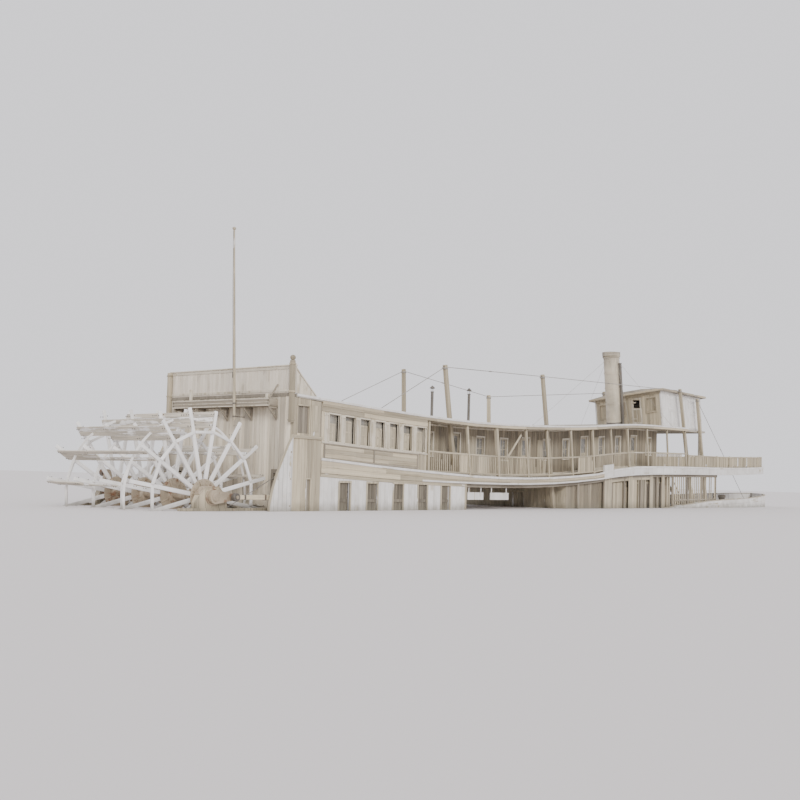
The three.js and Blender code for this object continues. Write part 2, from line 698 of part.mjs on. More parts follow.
// Stairs from the fore deck
const TREADS = 12;
const rise = (upperDeck(STAIRS.s0) - mainDeck(STAIRS.s1)) / TREADS;
const going = (STAIRS.s1 - STAIRS.s0 - 0.2) / TREADS;
const stairTop = upperDeck(STAIRS.s0) - 0.02;
function stairs() {
  const { s0, s1, half } = STAIRS;
  const foot = mainDeck(s1 - 0.05) + GAP;
  const stringer = (y) =>
    sideOn(
      [
        [s1 - 0.32, foot],
        [s1 - 0.05, foot],
        [s1 - 0.05, foot + 0.12],
        [s0 + 0.15, stairTop],
        [stairHead, stairTop],
        [stairHead, stairTop - 0.1],
      ],
      y,
      y + 0.05,
    );
  const treads = Array.from({ length: TREADS - 1 }, (_, i) => {
    const s = s0 + 0.02 + (i + 0.3) * going;
    const z = stairTop - (i + 1) * rise;
    return box(s, s + going * 0.95, -half + 0.02, half - 0.02, z - 0.04, z);
  });
  return join(stringer(-half), stringer(half - 0.05), treads);
}
add("bow_stairs", stairs(), "boards");

// Saloon at the after end of the upper deck, cabin forward of it
const onUpper = (s) => upperDeck(s) + GAP;
const SALOON = { s1: 8.3, first: 2.28, pitch: 0.93, count: 7, width: 0.6, sill: 0.9, head: 1.95 };
const pane = (s, width, low, high) =>
  band(
    s - width / 2,
    s + width / 2,
    (x) => upperDeck(x) + low,
    (x) => upperDeck(x) + high,
    -SIDE - 1,
    SIDE + 1,
  );
const saloonPanes = Array.from({ length: SALOON.count }, (_, i) =>
  pane(SALOON.first + i * SALOON.pitch, SALOON.width, SALOON.sill, SALOON.head),
);
const saloonSide = cut(
  band(CORNER.s1 + GAP, SALOON.s1, onUpper, underRoof, -SIDE + 0.04, -SIDE + WALL + 0.02),
  saloonPanes,
);
const CABIN = { s1: 34.4, half: 2.3, pitch: 2.1, first: 10.1 };
const saloonFloor = upperDeck(SALOON.s1);
const saloonReturn = cut(
  band(SALOON.s1 - WALL, SALOON.s1, onUpper, underRoof, -SIDE + 0.04, -CABIN.half - GAP),
  box(0, TALL, -SIDE + 0.36, -CABIN.half - 0.2, saloonFloor + 0.12, saloonFloor + 2.05),
);
addPair("saloon_side", join(saloonSide, saloonReturn), "cream");
const cabinPanes = evenly(CABIN.first, CABIN.s1 - 1.2, CABIN.pitch).map((s, i) =>
  i % 3 === 1 ? pane(s, 0.72, 0.1, 1.98) : pane(s, 0.62, 0.85, 1.9),
);
addPair(
  "cabin_side",
  cut(
    band(SALOON.s1 - WALL, CABIN.s1 - GAP, onUpper, underRoof, -CABIN.half, -CABIN.half + WALL),
    cabinPanes,
  ),
  "boards",
);
const LEAF = { width: 0.72, height: 1.95, thick: 0.06, sill: 0.1 };
const HINGE = { radius: 0.02, sides: 12, strap: 0.34 };
const cabinFloor = upperDeck(CABIN.s1);
const leafLow = cabinFloor + LEAF.sill;
const doorHalf = LEAF.width + 1.5 * RUN;
const frontWall = band(CABIN.s1, CABIN.s1 + WALL, onUpper, underRoof, -CABIN.half, CABIN.half);
const frontDoorway = box(
  0,
  TALL * 2,
  -doorHalf,
  doorHalf,
  leafLow - RUN,
  leafLow + LEAF.height + RUN,
);
const frontPanes = [-1.55, 1.55].map((y) =>
  box(0, TALL * 2, y - 0.33, y + 0.33, cabinFloor + 0.85, cabinFloor + 1.9),
);
add("cabin_front", cut(frontWall, frontDoorway, frontPanes), "boards");

// A door leaf in a wall across the vessel, hung on barrels outside the wall's face.
// jamb is the Y of the opening's edge, sign the way the leaf runs from it, face the wall's face,
// and out is 1 where the leaf opens forward and -1 where it opens aft.
function doorLeaf(jamb, sign, face, out, low, height) {
  const span = (a, b) => [a, b].sort((p, q) => p - q);
  const [y0, y1] = span(jamb + sign * RUN, jamb + sign * (RUN + LEAF.width));
  const [s0, s1] = span(face, face - out * LEAF.thick);
  const pivot = face + out * (HINGE.radius + GAP);
  const leaf = cut(
    box(s0, s1, y0, y1, low, low + height),
    box(s0 - 1, s1 + 1, y0 + 0.13, y1 - 0.13, low + 1.02, low + height - 0.14),
  );
  const hinges = [low + 0.25, low + height - 0.4].map((z) => {
    const [b0, b1] = span(jamb + sign * RUN, jamb + sign * HINGE.strap);
    const [t0, t1] = span(face - out * 0.01, pivot + out * 0.005);
    return join(
      rod([pivot, jamb, z], [pivot, jamb, z + 0.14], HINGE.radius, HINGE.sides),
      box(t0, t1, b0, b1, z + 0.03, z + 0.11),
    );
  });
  return join(leaf, hinges);
}
const cabinFace = CABIN.s1 + WALL;
add("cabin_door_starboard", doorLeaf(-doorHalf, 1, cabinFace, 1, leafLow, LEAF.height), "cream");
add("cabin_door_port", doorLeaf(doorHalf, -1, cabinFace, 1, leafLow, LEAF.height), "cream");

// Promenade: stanchions from deck to roof with rails between them
const STANCHION = { half: 0.055, upper: SIDE - 0.14, main: SIDE - 0.24 }; // half side, and its Y
const POSTS_UPPER = [11.8, 14.25, 16.95, 19, 21.5, 23.9, 26.1, 28.2, 30.8, 33.7, 36.5]; // their feet
const POST_LEAN = 0.35; // tops aft of their feet
const FIRST_POST = 8.55; // upright, beside the saloon
const RAIL = { half: 0.035, thick: 0.06, low: 0.12, high: 0.98 };
function rails(from, to, floor, heights, y) {
  return heights.map((height) =>
    band(
      from,
      to,
      (s) => floor(s) + height - RAIL.half,
      (s) => floor(s) + height + RAIL.half,
      -y - RAIL.thick / 2,
      -y + RAIL.thick / 2,
    ),
  );
}
function stanchions(list, low, high, y) {
  const { half } = STANCHION;
  return list.map((s) => band(s - half, s + half, low, high, -y - half, -y + half));
}
function leaningPost(foot) {
  const { half, upper } = STANCHION;
  const [low, high] = [[foot - half, foot + half], [foot - POST_LEAN + half, foot - POST_LEAN - half]];
  const outline = [...low.map((s) => [s, onUpper(s)]), ...high.map((s) => [s, underRoof(s)])];
  return sideOn(outline, -upper - half, -upper + half);
}
addPair(
  "promenade_rail",
  join(
    stanchions([FIRST_POST], onUpper, underRoof, STANCHION.upper),
    POSTS_UPPER.map(leaningPost),
    rails(FIRST_POST, POSTS_UPPER.at(-1), upperDeck, [RAIL.low, RAIL.high], STANCHION.upper),
  ),
  "cream",
);
const POSTS_MAIN = [11.6, 22.3, 25.3, 27.8, 30, 32.3, 34.6, 36.9, 39.3, 41.7];
const SHED_END = 34.6; // the after end of the main deck's rail
const topPlate = band(
  HOUSE.s1 + GAP,
  POSTS_MAIN.at(-1) + 0.2,
  (s) => upperDeck(s) - FASCIA - 0.16,
  underUpper,
  -STANCHION.main - 0.05,
  -STANCHION.main + 0.05,
);
addPair(
  "main_stanchions",
  join(
    topPlate,
    stanchions(POSTS_MAIN, onMain, (s) => upperDeck(s) - FASCIA - 0.01, STANCHION.main),
    rails(SHED_END, POSTS_MAIN.at(-1), mainDeck, [1.05], STANCHION.main),
  ),
  "cream",
);
// Rail round the open fore part of the upper deck
const FORE_RAIL = { from: 36.7, inset: 0.11, thick: 0.06, high: 0.88, top: 0.93 };
const FORE_POSTS = [36.8, 39.2, 41.6, 44, 46.4, 48.8, 51.2];
const foreRing = ring(FORE_RAIL.from, UPPER_TIP, FORE_RAIL.inset, FORE_RAIL.inset + FORE_RAIL.thick);
const foreBands = [RAIL.low, FORE_RAIL.high].map((height) =>
  band(
    FORE_RAIL.from,
    UPPER_TIP,
    (s) => upperDeck(s) + height - RAIL.half,
    (s) => upperDeck(s) + height + RAIL.half,
    -SIDE,
    SIDE,
  ),
);
const foreTop = (s) => upperDeck(s) + FORE_RAIL.top;
const forePosts = FORE_POSTS.map((s) => band(s - 0.05, s + 0.05, onUpper, foreTop, -SIDE, SIDE));
const bowPosts = [-1.9, 0, 1.9].map((y) =>
  band(53, UPPER_TIP, onUpper, foreTop, y - 0.05, y + 0.05),
);
add("fore_rail", meet(join(foreBands, forePosts, bowPosts), foreRing), "cream");

// Roof, narrower forward under the pilothouse
const ROOF = { s1: 37, narrow: 2.62, tip: 42.3 };
const roofPlan = [
  [deckFrom, -SIDE],
  [ROOF.s1 - 0.6, -SIDE],
  [ROOF.s1, -SIDE + 0.6],
  [ROOF.s1, -ROOF.narrow],
  [ROOF.tip - 0.7, -ROOF.narrow],
  [ROOF.tip, -ROOF.narrow + 0.7],
];
const roofOutline = [...roofPlan, ...roofPlan.map(([s, y]) => [s, -y]).reverse()];
const roofSlab = meet(
  band(deckFrom, ROOF.tip, (s) => roofTop(s) - DECK, roofTop, -SIDE, SIDE),
  fromAbove(roofOutline, -TALL, TALL),
);
const PILLAR = { s: 41.6, y: -2.2, half: 0.06 };
const pillar = band(
  PILLAR.s - PILLAR.half,
  PILLAR.s + PILLAR.half,
  onUpper,
  (s) => roofTop(s) - DECK / 2,
  PILLAR.y - PILLAR.half,
  PILLAR.y + PILLAR.half,
);
const roofAndPillars = join(roofSlab, pillar, pillar.mirror([0, 1, 0]));
add("roof", cut(roofAndPillars, hogClearance, stackHole, escapeHole), "canvas");

// Pilothouse. It has racked: it leans aft, and its top falls to port. Its pieces are drawn
// upright and sheared, and its walls are cut off along the roof they stand on.
const HOUSE_TOP = 7.2; // over the middle line
const PILOT = { s0: 35.27, s1: 41.7, half: 2.33, foot: 5.12 };
const RACK = { aft: 0.2, port: 0.12 }; // to a metre of height, and of Y
const sloped = (body, port) =>
  body.transform([
    ...[1, 0, 0, 0],
    ...[RACK.aft * port, 1, -port, 0],
    ...[-RACK.aft, 0, 1, 0],
    ...[RACK.aft * PILOT.foot * MODEL, 0, 0, 1],
  ]);
const racked = (body) => sloped(body, RACK.port);
const rehung = (body) => sloped(body, 0); // the door and its opening, level again
const onRoof = (s) => roofTop(s) + GAP;
const belowRoof = band(PILOT.s0 - 3, PILOT.s1 + 1, () => 0, onRoof, -SIDE, SIDE);
function pilotWall(s0, s1, y0, y1, ...holes) {
  const wall = band(s0, s1, () => PILOT.foot - 0.5, () => HOUSE_TOP, y0, y1);
  return cut(racked(cut(wall, ...holes)), belowRoof);
}
const pilotPanes = [36.75, 38.5, 40.25].map((s) => box(s - 0.45, s + 0.45, -SIDE, SIDE, 6.05, 6.9));
for (const [side, sign] of [["starboard", -1], ["port", 1]]) {
  const [y0, y1] = [sign * PILOT.half, sign * (PILOT.half - WALL)].sort((a, b) => a - b);
  const wall = pilotWall(PILOT.s0 + WALL + GAP, PILOT.s1 - WALL - GAP, y0, y1, pilotPanes);
  add("pilothouse_side_" + side, wall, "white");
}
const PILOT_DOOR = { jamb: -0.25, low: roofTop(PILOT.s0) + 0.27, height: 1.7 };
const pilotDoorway = box(
  30,
  PILOT.s0 + 1,
  PILOT_DOOR.jamb - LEAF.width - 2 * RUN,
  PILOT_DOOR.jamb,
  PILOT_DOOR.low - RUN,
  PILOT_DOOR.low + PILOT_DOOR.height + RUN,
);
const aftPanes = [-1.65, 0.55, 1.65].map((y) => box(30, PILOT.s0 + 1, y - 0.34, y + 0.34, 5.95, 6.85));
const forePanes = [-1.5, 0, 1.5].map((y) => box(PILOT.s1 - 1, 60, y - 0.6, y + 0.6, 6.0, 6.9));
const { s0: pilotAft, s1: pilotFore, half: pilotHalf } = PILOT;
add(
  "pilothouse_aft",
  cut(pilotWall(pilotAft, pilotAft + WALL, -pilotHalf, pilotHalf, aftPanes), rehung(pilotDoorway)),
  "boards",
);
add(
  "pilothouse_front",
  pilotWall(pilotFore - WALL, pilotFore, -pilotHalf, pilotHalf, forePanes),
  "white",
);
add(
  "pilothouse_door",
  rehung(doorLeaf(PILOT_DOOR.jamb, -1, PILOT.s0, -1, PILOT_DOOR.low, PILOT_DOOR.height)),
  "cream",
);
const EAVE = 0.32;
const pilotRoof = endOn(
  [
    [-PILOT.half - EAVE, HOUSE_TOP + GAP],
    [PILOT.half + EAVE, HOUSE_TOP + GAP],
    [PILOT.half + EAVE, HOUSE_TOP + 0.1],
    [1.2, HOUSE_TOP + 0.26],
    [-1.2, HOUSE_TOP + 0.26],
    [-PILOT.half - EAVE, HOUSE_TOP + 0.1],
  ],
  PILOT.s0 - EAVE,
  PILOT.s1 + EAVE,
);
const ROOF_CLEAR = 0.03; // round the hog trusses where they pass the eaves
const trussSpace = ["starboard", "port"].map((side) => hogTruss(side, ROOF_CLEAR));
add("pilothouse_roof", cut(racked(pilotRoof), trussSpace), "canvas");

// Stack on the smoke box, and the escape pipe
function lathe(profile, s, sides) {
  const points = profile.map(([radius, z]) => new THREE.Vector2(radius, z));
  return solid(new THREE.LatheGeometry(points, sides).rotateX(Math.PI / 2).translate(s, 0, 0));
}
const stack = lathe(
  [
    [0, SMOKE_BOX + GAP],
    [STACK.radius, SMOKE_BOX + GAP],
    [STACK.radius, STACK.top - 0.32],
    [STACK.radius + 0.07, STACK.top - 0.24],
    [STACK.radius + 0.07, STACK.top],
    [STACK.radius - 0.04, STACK.top],
    [STACK.radius - 0.04, STACK.top - 1.5],
    [0, STACK.top - 1.5],
  ],
  STACK.s,
  STACK.sides,
);
add("stack", sheared(stack), "iron");
add("escape_pipe", escapeAt(upperDeck(ESCAPE.s) - 0.1, ESCAPE.top, ESCAPE.radius), "iron");

// Capstan on the fore deck
const barrelFoot = capstanFoot + GAP;
add(
  "capstan",
  lathe(
    [
      [0, barrelFoot],
      [0.34, barrelFoot],
      [0.34, barrelFoot + 0.12],
      [0.2, barrelFoot + 0.3],
      [0.2, barrelFoot + 0.62],
      [0.3, barrelFoot + 0.78],
      [0.3, barrelFoot + 0.92],
      [0, barrelFoot + 0.96],
    ],
    CAPSTAN.s,
    16,
  ),
  "iron",
);

// The whole vessel, moved so that its flat bottom stands on the origin's plane
ship.position.set(-MIDDLE * MODEL, 0, -KEEL * MODEL);
export default ship;
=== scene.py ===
# Looks of the sternwheel paddle steamer, a 1:2 scale model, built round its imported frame.
# Places are given as in the model's own source: S is the distance forward of the stern bulkhead,
# Y is to port and heights are above the water line, all in metres of the full-size vessel.
import json
import math
import random
from itertools import product
from types import SimpleNamespace as Sizes

import bpy
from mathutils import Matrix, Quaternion, Vector
from mathutils.bvhtree import BVHTree


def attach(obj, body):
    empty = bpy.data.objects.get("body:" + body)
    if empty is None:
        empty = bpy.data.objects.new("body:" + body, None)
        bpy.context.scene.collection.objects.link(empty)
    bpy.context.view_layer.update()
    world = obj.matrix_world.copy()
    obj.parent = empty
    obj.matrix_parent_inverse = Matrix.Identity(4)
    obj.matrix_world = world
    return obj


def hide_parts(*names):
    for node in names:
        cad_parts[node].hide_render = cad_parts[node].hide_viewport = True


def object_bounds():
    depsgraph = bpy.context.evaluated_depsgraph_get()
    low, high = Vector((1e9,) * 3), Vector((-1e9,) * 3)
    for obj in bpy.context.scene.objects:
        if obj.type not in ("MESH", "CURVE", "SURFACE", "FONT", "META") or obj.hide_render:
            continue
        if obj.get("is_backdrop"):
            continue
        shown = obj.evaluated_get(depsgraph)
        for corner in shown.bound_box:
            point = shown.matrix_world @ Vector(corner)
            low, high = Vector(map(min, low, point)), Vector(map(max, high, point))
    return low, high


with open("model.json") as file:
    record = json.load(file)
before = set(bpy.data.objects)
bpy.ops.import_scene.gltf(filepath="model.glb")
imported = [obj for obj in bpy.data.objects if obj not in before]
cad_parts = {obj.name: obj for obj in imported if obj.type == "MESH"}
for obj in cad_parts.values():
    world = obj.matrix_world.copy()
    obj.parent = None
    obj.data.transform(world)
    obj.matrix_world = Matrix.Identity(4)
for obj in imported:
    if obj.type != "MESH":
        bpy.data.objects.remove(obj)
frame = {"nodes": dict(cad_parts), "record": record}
cad_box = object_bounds()

# Driving dimensions, in metres of the full-size vessel
SCALE = 0.5  # metres of the model to a metre of the vessel
KEEL = -3.1
MIDDLE = 25.85  # S of the frame's origin
SIDE = 3.6
STEP = 2.4  # S between the sheer's stations
STATIONS = 24
DECK_ENDS = (0.2, 56.5)  # S between which the frame's deck is measured
WHEEL = Sizes(s=-3.3, z=0.5, radius=3.2)
MAIN_STOREY = 3.05
STOREY = Sizes(aft=2.5, fore=2.64, start=12.0, to=19.2)  # upper deck to roof
DECK = 0.12
FASCIA = 0.36
BOW = 58.2
UPPER_TIP = 57.3
SHOULDER = 42.0  # S where the decks begin to round in to the bow
SIDES = ((-1, "starboard"), (1, "port"))
ALONG, ACROSS, UP = (1, 0, 0), (0, 1, 0), (0, 0, 1)


def place(s, y, z):
    """A point of the frame, in metres of the model."""
    return Vector(((s - MIDDLE) * SCALE, y * SCALE, (z - KEEL) * SCALE))


def read_sheer():
    """Heights of the upper deck at its stations, read from the frame's own deck."""
    mesh = frame["nodes"]["upper_deck"].data
    tree = BVHTree.FromPolygons([v.co for v in mesh.vertices], [p.vertices for p in mesh.polygons])
    heights = []
    for i in range(STATIONS):
        s = min(max(i * STEP, DECK_ENDS[0]), DECK_ENDS[1])
        hits = (tree.ray_cast(place(s, y, 6), Vector((0, 0, -1)))[0] for y in (1.6, 0.3))
        heights.append(next(hit.z for hit in hits if hit) / SCALE + KEEL)
    return heights


SHEER = read_sheer()


def upper(s):
    """Height of the upper deck at S."""
    i = min(max(math.floor(s / STEP), 0), STATIONS - 2)
    share = s / STEP - i
    return SHEER[i] * (1 - share) + SHEER[i + 1] * share


def main(s):
    return upper(s) - MAIN_STOREY


def roof(s):
    share = min(max((s - STOREY.start) / (STOREY.to - STOREY.start), 0), 1)
    return upper(s) + STOREY.aft + (STOREY.fore - STOREY.aft) * share


# Lines: heights as functions of the place T along a wall, where a plain number is a level line


def line(height):
    return height if callable(height) else lambda t: height


def above(height, rise):
    return lambda t: line(height)(t) + rise


def between(low, high, share, rise=0.0):
    """The line at a share of the way from one line up to another, moved up by rise."""
    return lambda t: line(low)(t) + (line(high)(t) - line(low)(t)) * share + rise


def over_deck(rise):
    return above(upper, rise)


def over_main(rise):
    return above(main, rise)


def under_roof(drop):
    return lambda t: roof(t) - DECK - 0.001 - drop


# Drawing: closed solids in full-size places


def turned(degrees):
    """Forward and upward parts of a direction in the wheel's plane."""
    return math.cos(math.radians(degrees)), math.sin(math.radians(degrees))


def cut_corners(wide, deep, bevel):
    """A bar's section: a rectangle with its corners cut off."""
    w, d = wide / 2, deep / 2
    b = min(bevel, 0.6 * w, 0.6 * d)
    half = [(b - w, -d), (w - b, -d), (w, b - d), (w, d - b)]
    return half + [(-u, -v) for u, v in half]


def hoop(inner, outer, high, edge):
    """The profile of a ring that is turned round an axis: radii and distances along it."""
    return (inner, 0), (outer, edge), (outer, high - edge), (inner, high)


def headings(path):
    """The way ahead at each point of a path."""
    last = len(path) - 1
    return [(path[min(i + 1, last)] - path[max(i - 1, 0)]).normalized() for i in range(last + 1)]


def stretch(start, end):
    """Both ends of a stretch along the vessel, and the sheer's stations between them."""
    first, last = math.floor(start / STEP) + 1, math.ceil(end / STEP) - 1
    stations = [i * STEP for i in range(first, last + 1)]
    return [start, *(s for s in stations if start + 0.02 < s < end - 0.02), end]


def side_wall(face):
    """Places on a wall along the vessel: T is S, and N goes outboard from its face."""
    out = 1 if face > 0 else -1
    return lambda t, n, z: Vector((t, face + out * n, z))


def cross_wall(face, out):
    """Places on a wall across the vessel: T is Y, and N goes from its face, forward where out is 1."""
    return lambda t, n, z: Vector((face + out * n, t, z))


def half_breadth(s, tip):
    t = max((s - SHOULDER) / (tip - SHOULDER), 0)
    return SIDE * max(1 - t ** 3, 0) ** 0.625


class Edge:
    """One side of a deck's edge, or of a line inside it: along the vessel, then round to the bow."""

    def __init__(self, side, start, tip, inset=0.0):
        last = tip - inset
        count = math.ceil((last - SHOULDER) / 1.3)
        self.side = side
        self.marks = [start] + [SHOULDER + (last - SHOULDER) * i / count for i in range(count + 1)]
        shares = [(s - start) / (tip - start) for s in self.marks]
        halves = [half_breadth(s + inset * share, tip) - inset for s, share in zip(self.marks, shares)]
        self.points = [Vector((s, max(half, 0.0))) for s, half in zip(self.marks, halves)]
        ways = [(b - a).normalized() for a, b in zip(self.points, self.points[1:])]
        normals = [Vector((-way.y, way.x)) for way in ways]
        beyond = [normals[0], *normals, Vector((normals[-1].x, -normals[-1].y))]
        self.mitres = [(a + b) / (1 + a.dot(b)) for a, b in zip(beyond, beyond[1:])]

    def __call__(self, t, n, z):
        """A place by its S, its distance outboard of the edge and its height."""
        i = sum(mark <= t for mark in self.marks[1:-1])
        share = (t - self.marks[i]) / (self.marks[i + 1] - self.marks[i])
        spot = self.points[i].lerp(self.points[i + 1], share)
        spot += self.mitres[i].lerp(self.mitres[i + 1], share) * n
        return Vector((spot.x, self.side * spot.y, z))

    def every(self, start, end):
        """The stretch's ends, and each sheer station and corner of the edge between them."""
        bends = stretch(start, end)
        corners = [mark for mark in self.marks if start < mark < end]
        return sorted(bends + [mark for mark in corners if all(abs(mark - s) > 0.02 for s in bends)])


PLANK_GAP = 0.01
PLANK_UNEVEN = 0.12  # share of a plank's width that chance may add or take
PLANK_PROUD = 0.004
STRAKE_GAP = 0.004
THINNEST = 0.03  # a board lower than this isn't drawn
PANE, SASH_THICK = 0.005, 0.04


class Piece:
    """One drawn piece, made of closed solids. Each solid knows the run of its grain."""

    def __init__(self, name, bend=None):
        self.name = name
        self.bend = bend or Vector
        self.points = []
        self.faces = []
        self.runs = []
        self.random = random.Random(name)

    def loft(self, rings, loop=False):
        """A solid through rings of points. A loop joins its last ring to its first."""
        rings = [[Vector(p) for p in ring] for ring in rings]
        count, first = len(rings[0]), len(self.points)
        middles = [sum(ring, Vector()) / count for ring in rings]
        along, around = [0.0], [0.0]
        for a, b in zip(middles, middles[1:] + middles[:1]):
            along.append(along[-1] + (b - a).length)
        widest = max(rings, key=lambda ring: (ring[0] - ring[count // 2]).length)
        for a, b in zip(widest, widest[1:] + widest[:1]):
            around.append(around[-1] + (b - a).length)
        chance = self.random.random()
        faces, runs = [], []
        for i in range(len(rings) if loop else len(rings) - 1):
            j = (i + 1) % len(rings) * count
            for k in range(count):
                m = (k + 1) % count
                faces.append((i * count + k, i * count + m, j + m, j + k))
                u0, u1, v0, v1 = along[i], along[i + 1], around[k], around[k + 1]
                runs.append(((u0, v0, chance), (u0, v1, chance), (u1, v1, chance), (u1, v0, chance)))
        if not loop:
            for i, order in ((0, range(count - 1, -1, -1)), (len(rings) - 1, range(count))):
                faces.append(tuple(i * count + k for k in order))
                runs.append(tuple((along[i], around[k], chance) for k in order))
        flat = [p for ring in rings for p in ring]
        volume = 0.0
        for face in faces:
            a, *rest = [flat[k] - flat[0] for k in face]
            volume += sum(a.dot(b.cross(c)) for b, c in zip(rest, rest[1:]))
        if volume < 0:
            faces = [face[::-1] for face in faces]
            runs = [run[::-1] for run in runs]
        self.points += flat
        self.faces += [tuple(first + k for k in face) for face in faces]
        self.runs += [corner for run in runs for corner in run]

    def bar(self, path, wide, deep, across=ACROSS, bevel=0.012, taper=1.0):
        """A bevelled bar along a path: wide along across, and deep at right angles to that."""
        path = [Vector(p) for p in path]
        last = len(path) - 1
        outline = cut_corners(wide, deep, bevel)
        inner = [(u * (1 - bevel / wide), v * (1 - bevel / deep)) for u, v in outline]
        rings = []
        for i, (p, ahead) in enumerate(zip(path, headings(path))):
            side = Vector(across)
            side = (side - ahead * side.dot(ahead)).normalized()
            up = ahead.cross(side)
            size = 1 + (taper - 1) * i / last
            ring = [(side * u + up * v) * size for u, v in outline]
            cap = [(side * u + up * v) * size for u, v in inner]
            if i == 0:
                rings += [[p + q for q in cap], [p + ahead * bevel + q for q in ring]]
            elif i == last:
                rings += [[p - ahead * bevel + q for q in ring], [p + q for q in cap]]
            else:
                rings.append([p + q for q in ring])
        self.loft(rings)

    def post(self, s, y, low, high, wide, deep, across=ACROSS, bevel=0.012):
        self.bar([(s, y, low), (s, y, high)], wide, deep, across, bevel)

    def tube(self, path, radius, sides=8, end=None):
        """A round rod along a path, tapered to its end radius where one is given."""
        path = [Vector(p) for p in path]
        side = headings(path)[0].orthogonal()
        rings = []
        for i, (p, ahead) in enumerate(zip(path, headings(path))):
            side = (side - ahead * side.dot(ahead)).normalized()
            size = radius + ((end or radius) - radius) * i / (len(path) - 1)
            turns = [Quaternion(ahead, 2 * math.pi * k / sides) @ side for k in range(sides)]
            rings.append([p + q * size for q in turns])
        self.loft(rings)

    def turn(self, foot, axis, profile, sides=16):
        """A turned solid: its profile lists radii with their distances along the axis."""
        axis = Vector(axis).normalized()
        side = axis.orthogonal().normalized()
        turns = [Quaternion(axis, 2 * math.pi * k / sides) @ side for k in range(sides)]
        self.loft([[Vector(foot) + axis * rise + q * radius for q in turns] for radius, rise in profile])

    def bolt(self, spot, out, radius=0.025, height=0.02):
        """A bolt's domed head on its washer."""
        washer = (1.5 * radius, -0.2 * height), (1.5 * radius, 0.3 * height)
        head = (radius, 0.35 * height), (radius, 0.8 * height), (0.6 * radius, 1.2 * height)
        self.turn(spot, out, (*washer, *head), 7)

    def bolt_ring(self, centre, axis, radius, count, size, height, outward=False):
        """Bolts in a ring round one of the three main axes, along it or pointing outward."""
        u, v = (Vector(way) for way in (ALONG, ACROSS, UP) if not Vector(way).dot(Vector(axis)))
        for i in range(count):
            first, second = turned(i * 360 / count)
            spoke = u * first + v * second
            self.bolt(Vector(centre) + spoke * radius, spoke if outward else axis, size, height)

    def board(self, at, t0, t1, n0, n1, low, high, bevel=0.006):
        """An upright board on a wall, from one line up to another, with its front edges cut."""
        b = min(bevel, 0.3 * (t1 - t0), 0.6 * abs(n1 - n0))
        n = n1 - b if n1 > n0 else n1 + b
        outline = [(t0, n0), (t1, n0), (t1, n), (t1 - b, n1), (t0 + b, n1), (t0, n)]
        self.loft([[at(t, n, line(height)(t)) for t, n in outline] for height in (low, high)])

    def strake(self, at, t0, t1, n0, n1, low, high, bevel=0.008):
        """A board along a wall or an edge that follows its lines."""
        b = min(bevel, 0.6 * abs(n1 - n0))
        rings = []
        for t in at.every(t0, t1) if isinstance(at, Edge) else stretch(t0, t1):
            z0, z1 = line(low)(t), line(high)(t)
            outline = [(n0, z0), (n0, z1), (n1 - b, z1), (n1, z1 - b), (n1, z0 + b), (n1 - b, z0)]
            rings.append([at(t, n, z) for n, z in outline])
        self.loft(rings)

    def planks(self, at, t0, t1, low, high, width, n0, n1, holes=()):
        """Upright boards side by side on a wall, cut round its holes (from T, to T, low, high)."""
        marks = {t0, t1} | {t for hole in holes for t in hole[:2] if t0 < t < t1}
        t = t0 + width
        while t < t1 - width / 3:
            if all(abs(t - mark) > width / 4 for mark in marks):
                marks.add(t)
            t += width * self.random.uniform(1 - PLANK_UNEVEN, 1 + PLANK_UNEVEN)
        marks = sorted(marks)
        for a, b in zip(marks, marks[1:]):
            middle = (a + b) / 2
            cuts = [(line(sill), line(head)) for c, d, sill, head in holes if c < middle < d]
            cuts.sort(key=lambda cut: cut[0](middle))
            out = n1 + self.random.uniform(-PLANK_PROUD, PLANK_PROUD)
            feet = [line(low), *(head for sill, head in cuts)]
            tops = [*(sill for sill, head in cuts), line(high)]
            for foot, top in zip(feet, tops):
                if top(middle) > foot(middle) + THINNEST:
                    self.board(at, a + PLANK_GAP / 2, b - PLANK_GAP / 2, n0, out, foot, top)

    def lengths(self, start, last, shortest, longest, least=0.0):
        """Boards laid end to end, long by chance. One that would leave under least goes on to the last."""
        while start < last - 0.1:
            end = min(start + self.random.uniform(shortest, longest), last)
            end = last if last - end < least else end
            yield start, end
            start = end

    def strakes(self, at, t0, t1, low, high, height, n0, n1, longest):
        """Boards along a wall, one above the other, with staggered joints."""
        middle = (t0 + t1) / 2
        count = max(round((line(high)(middle) - line(low)(middle)) / height), 1)
        for i in range(count):
            foot = between(low, high, i / count, STRAKE_GAP)
            head = between(low, high, (i + 1) / count, -STRAKE_GAP)
            for a, b in self.lengths(t0, t1, 0.6 * longest, longest, 0.8):
                self.strake(at, a, b - STRAKE_GAP, n0, n1, foot, head)

    def surround(self, at, hole, width, n0, n1, sill=0.0):
        """A frame round a hole: jambs, head, and a sill that stands out where asked."""
        t0, t1, low, high = hole
        self.board(at, t0 - width, t0, n0, n1, low, high)
        self.board(at, t1, t1 + width, n0, n1, low, high)
        self.board(at, t0 - width, t1 + width, n0, n1 + 0.01, high, above(high, width))
        if sill:
            self.board(at, t0 - width, t1 + width, n0, n1 + sill, above(low, -0.7 * width), low)

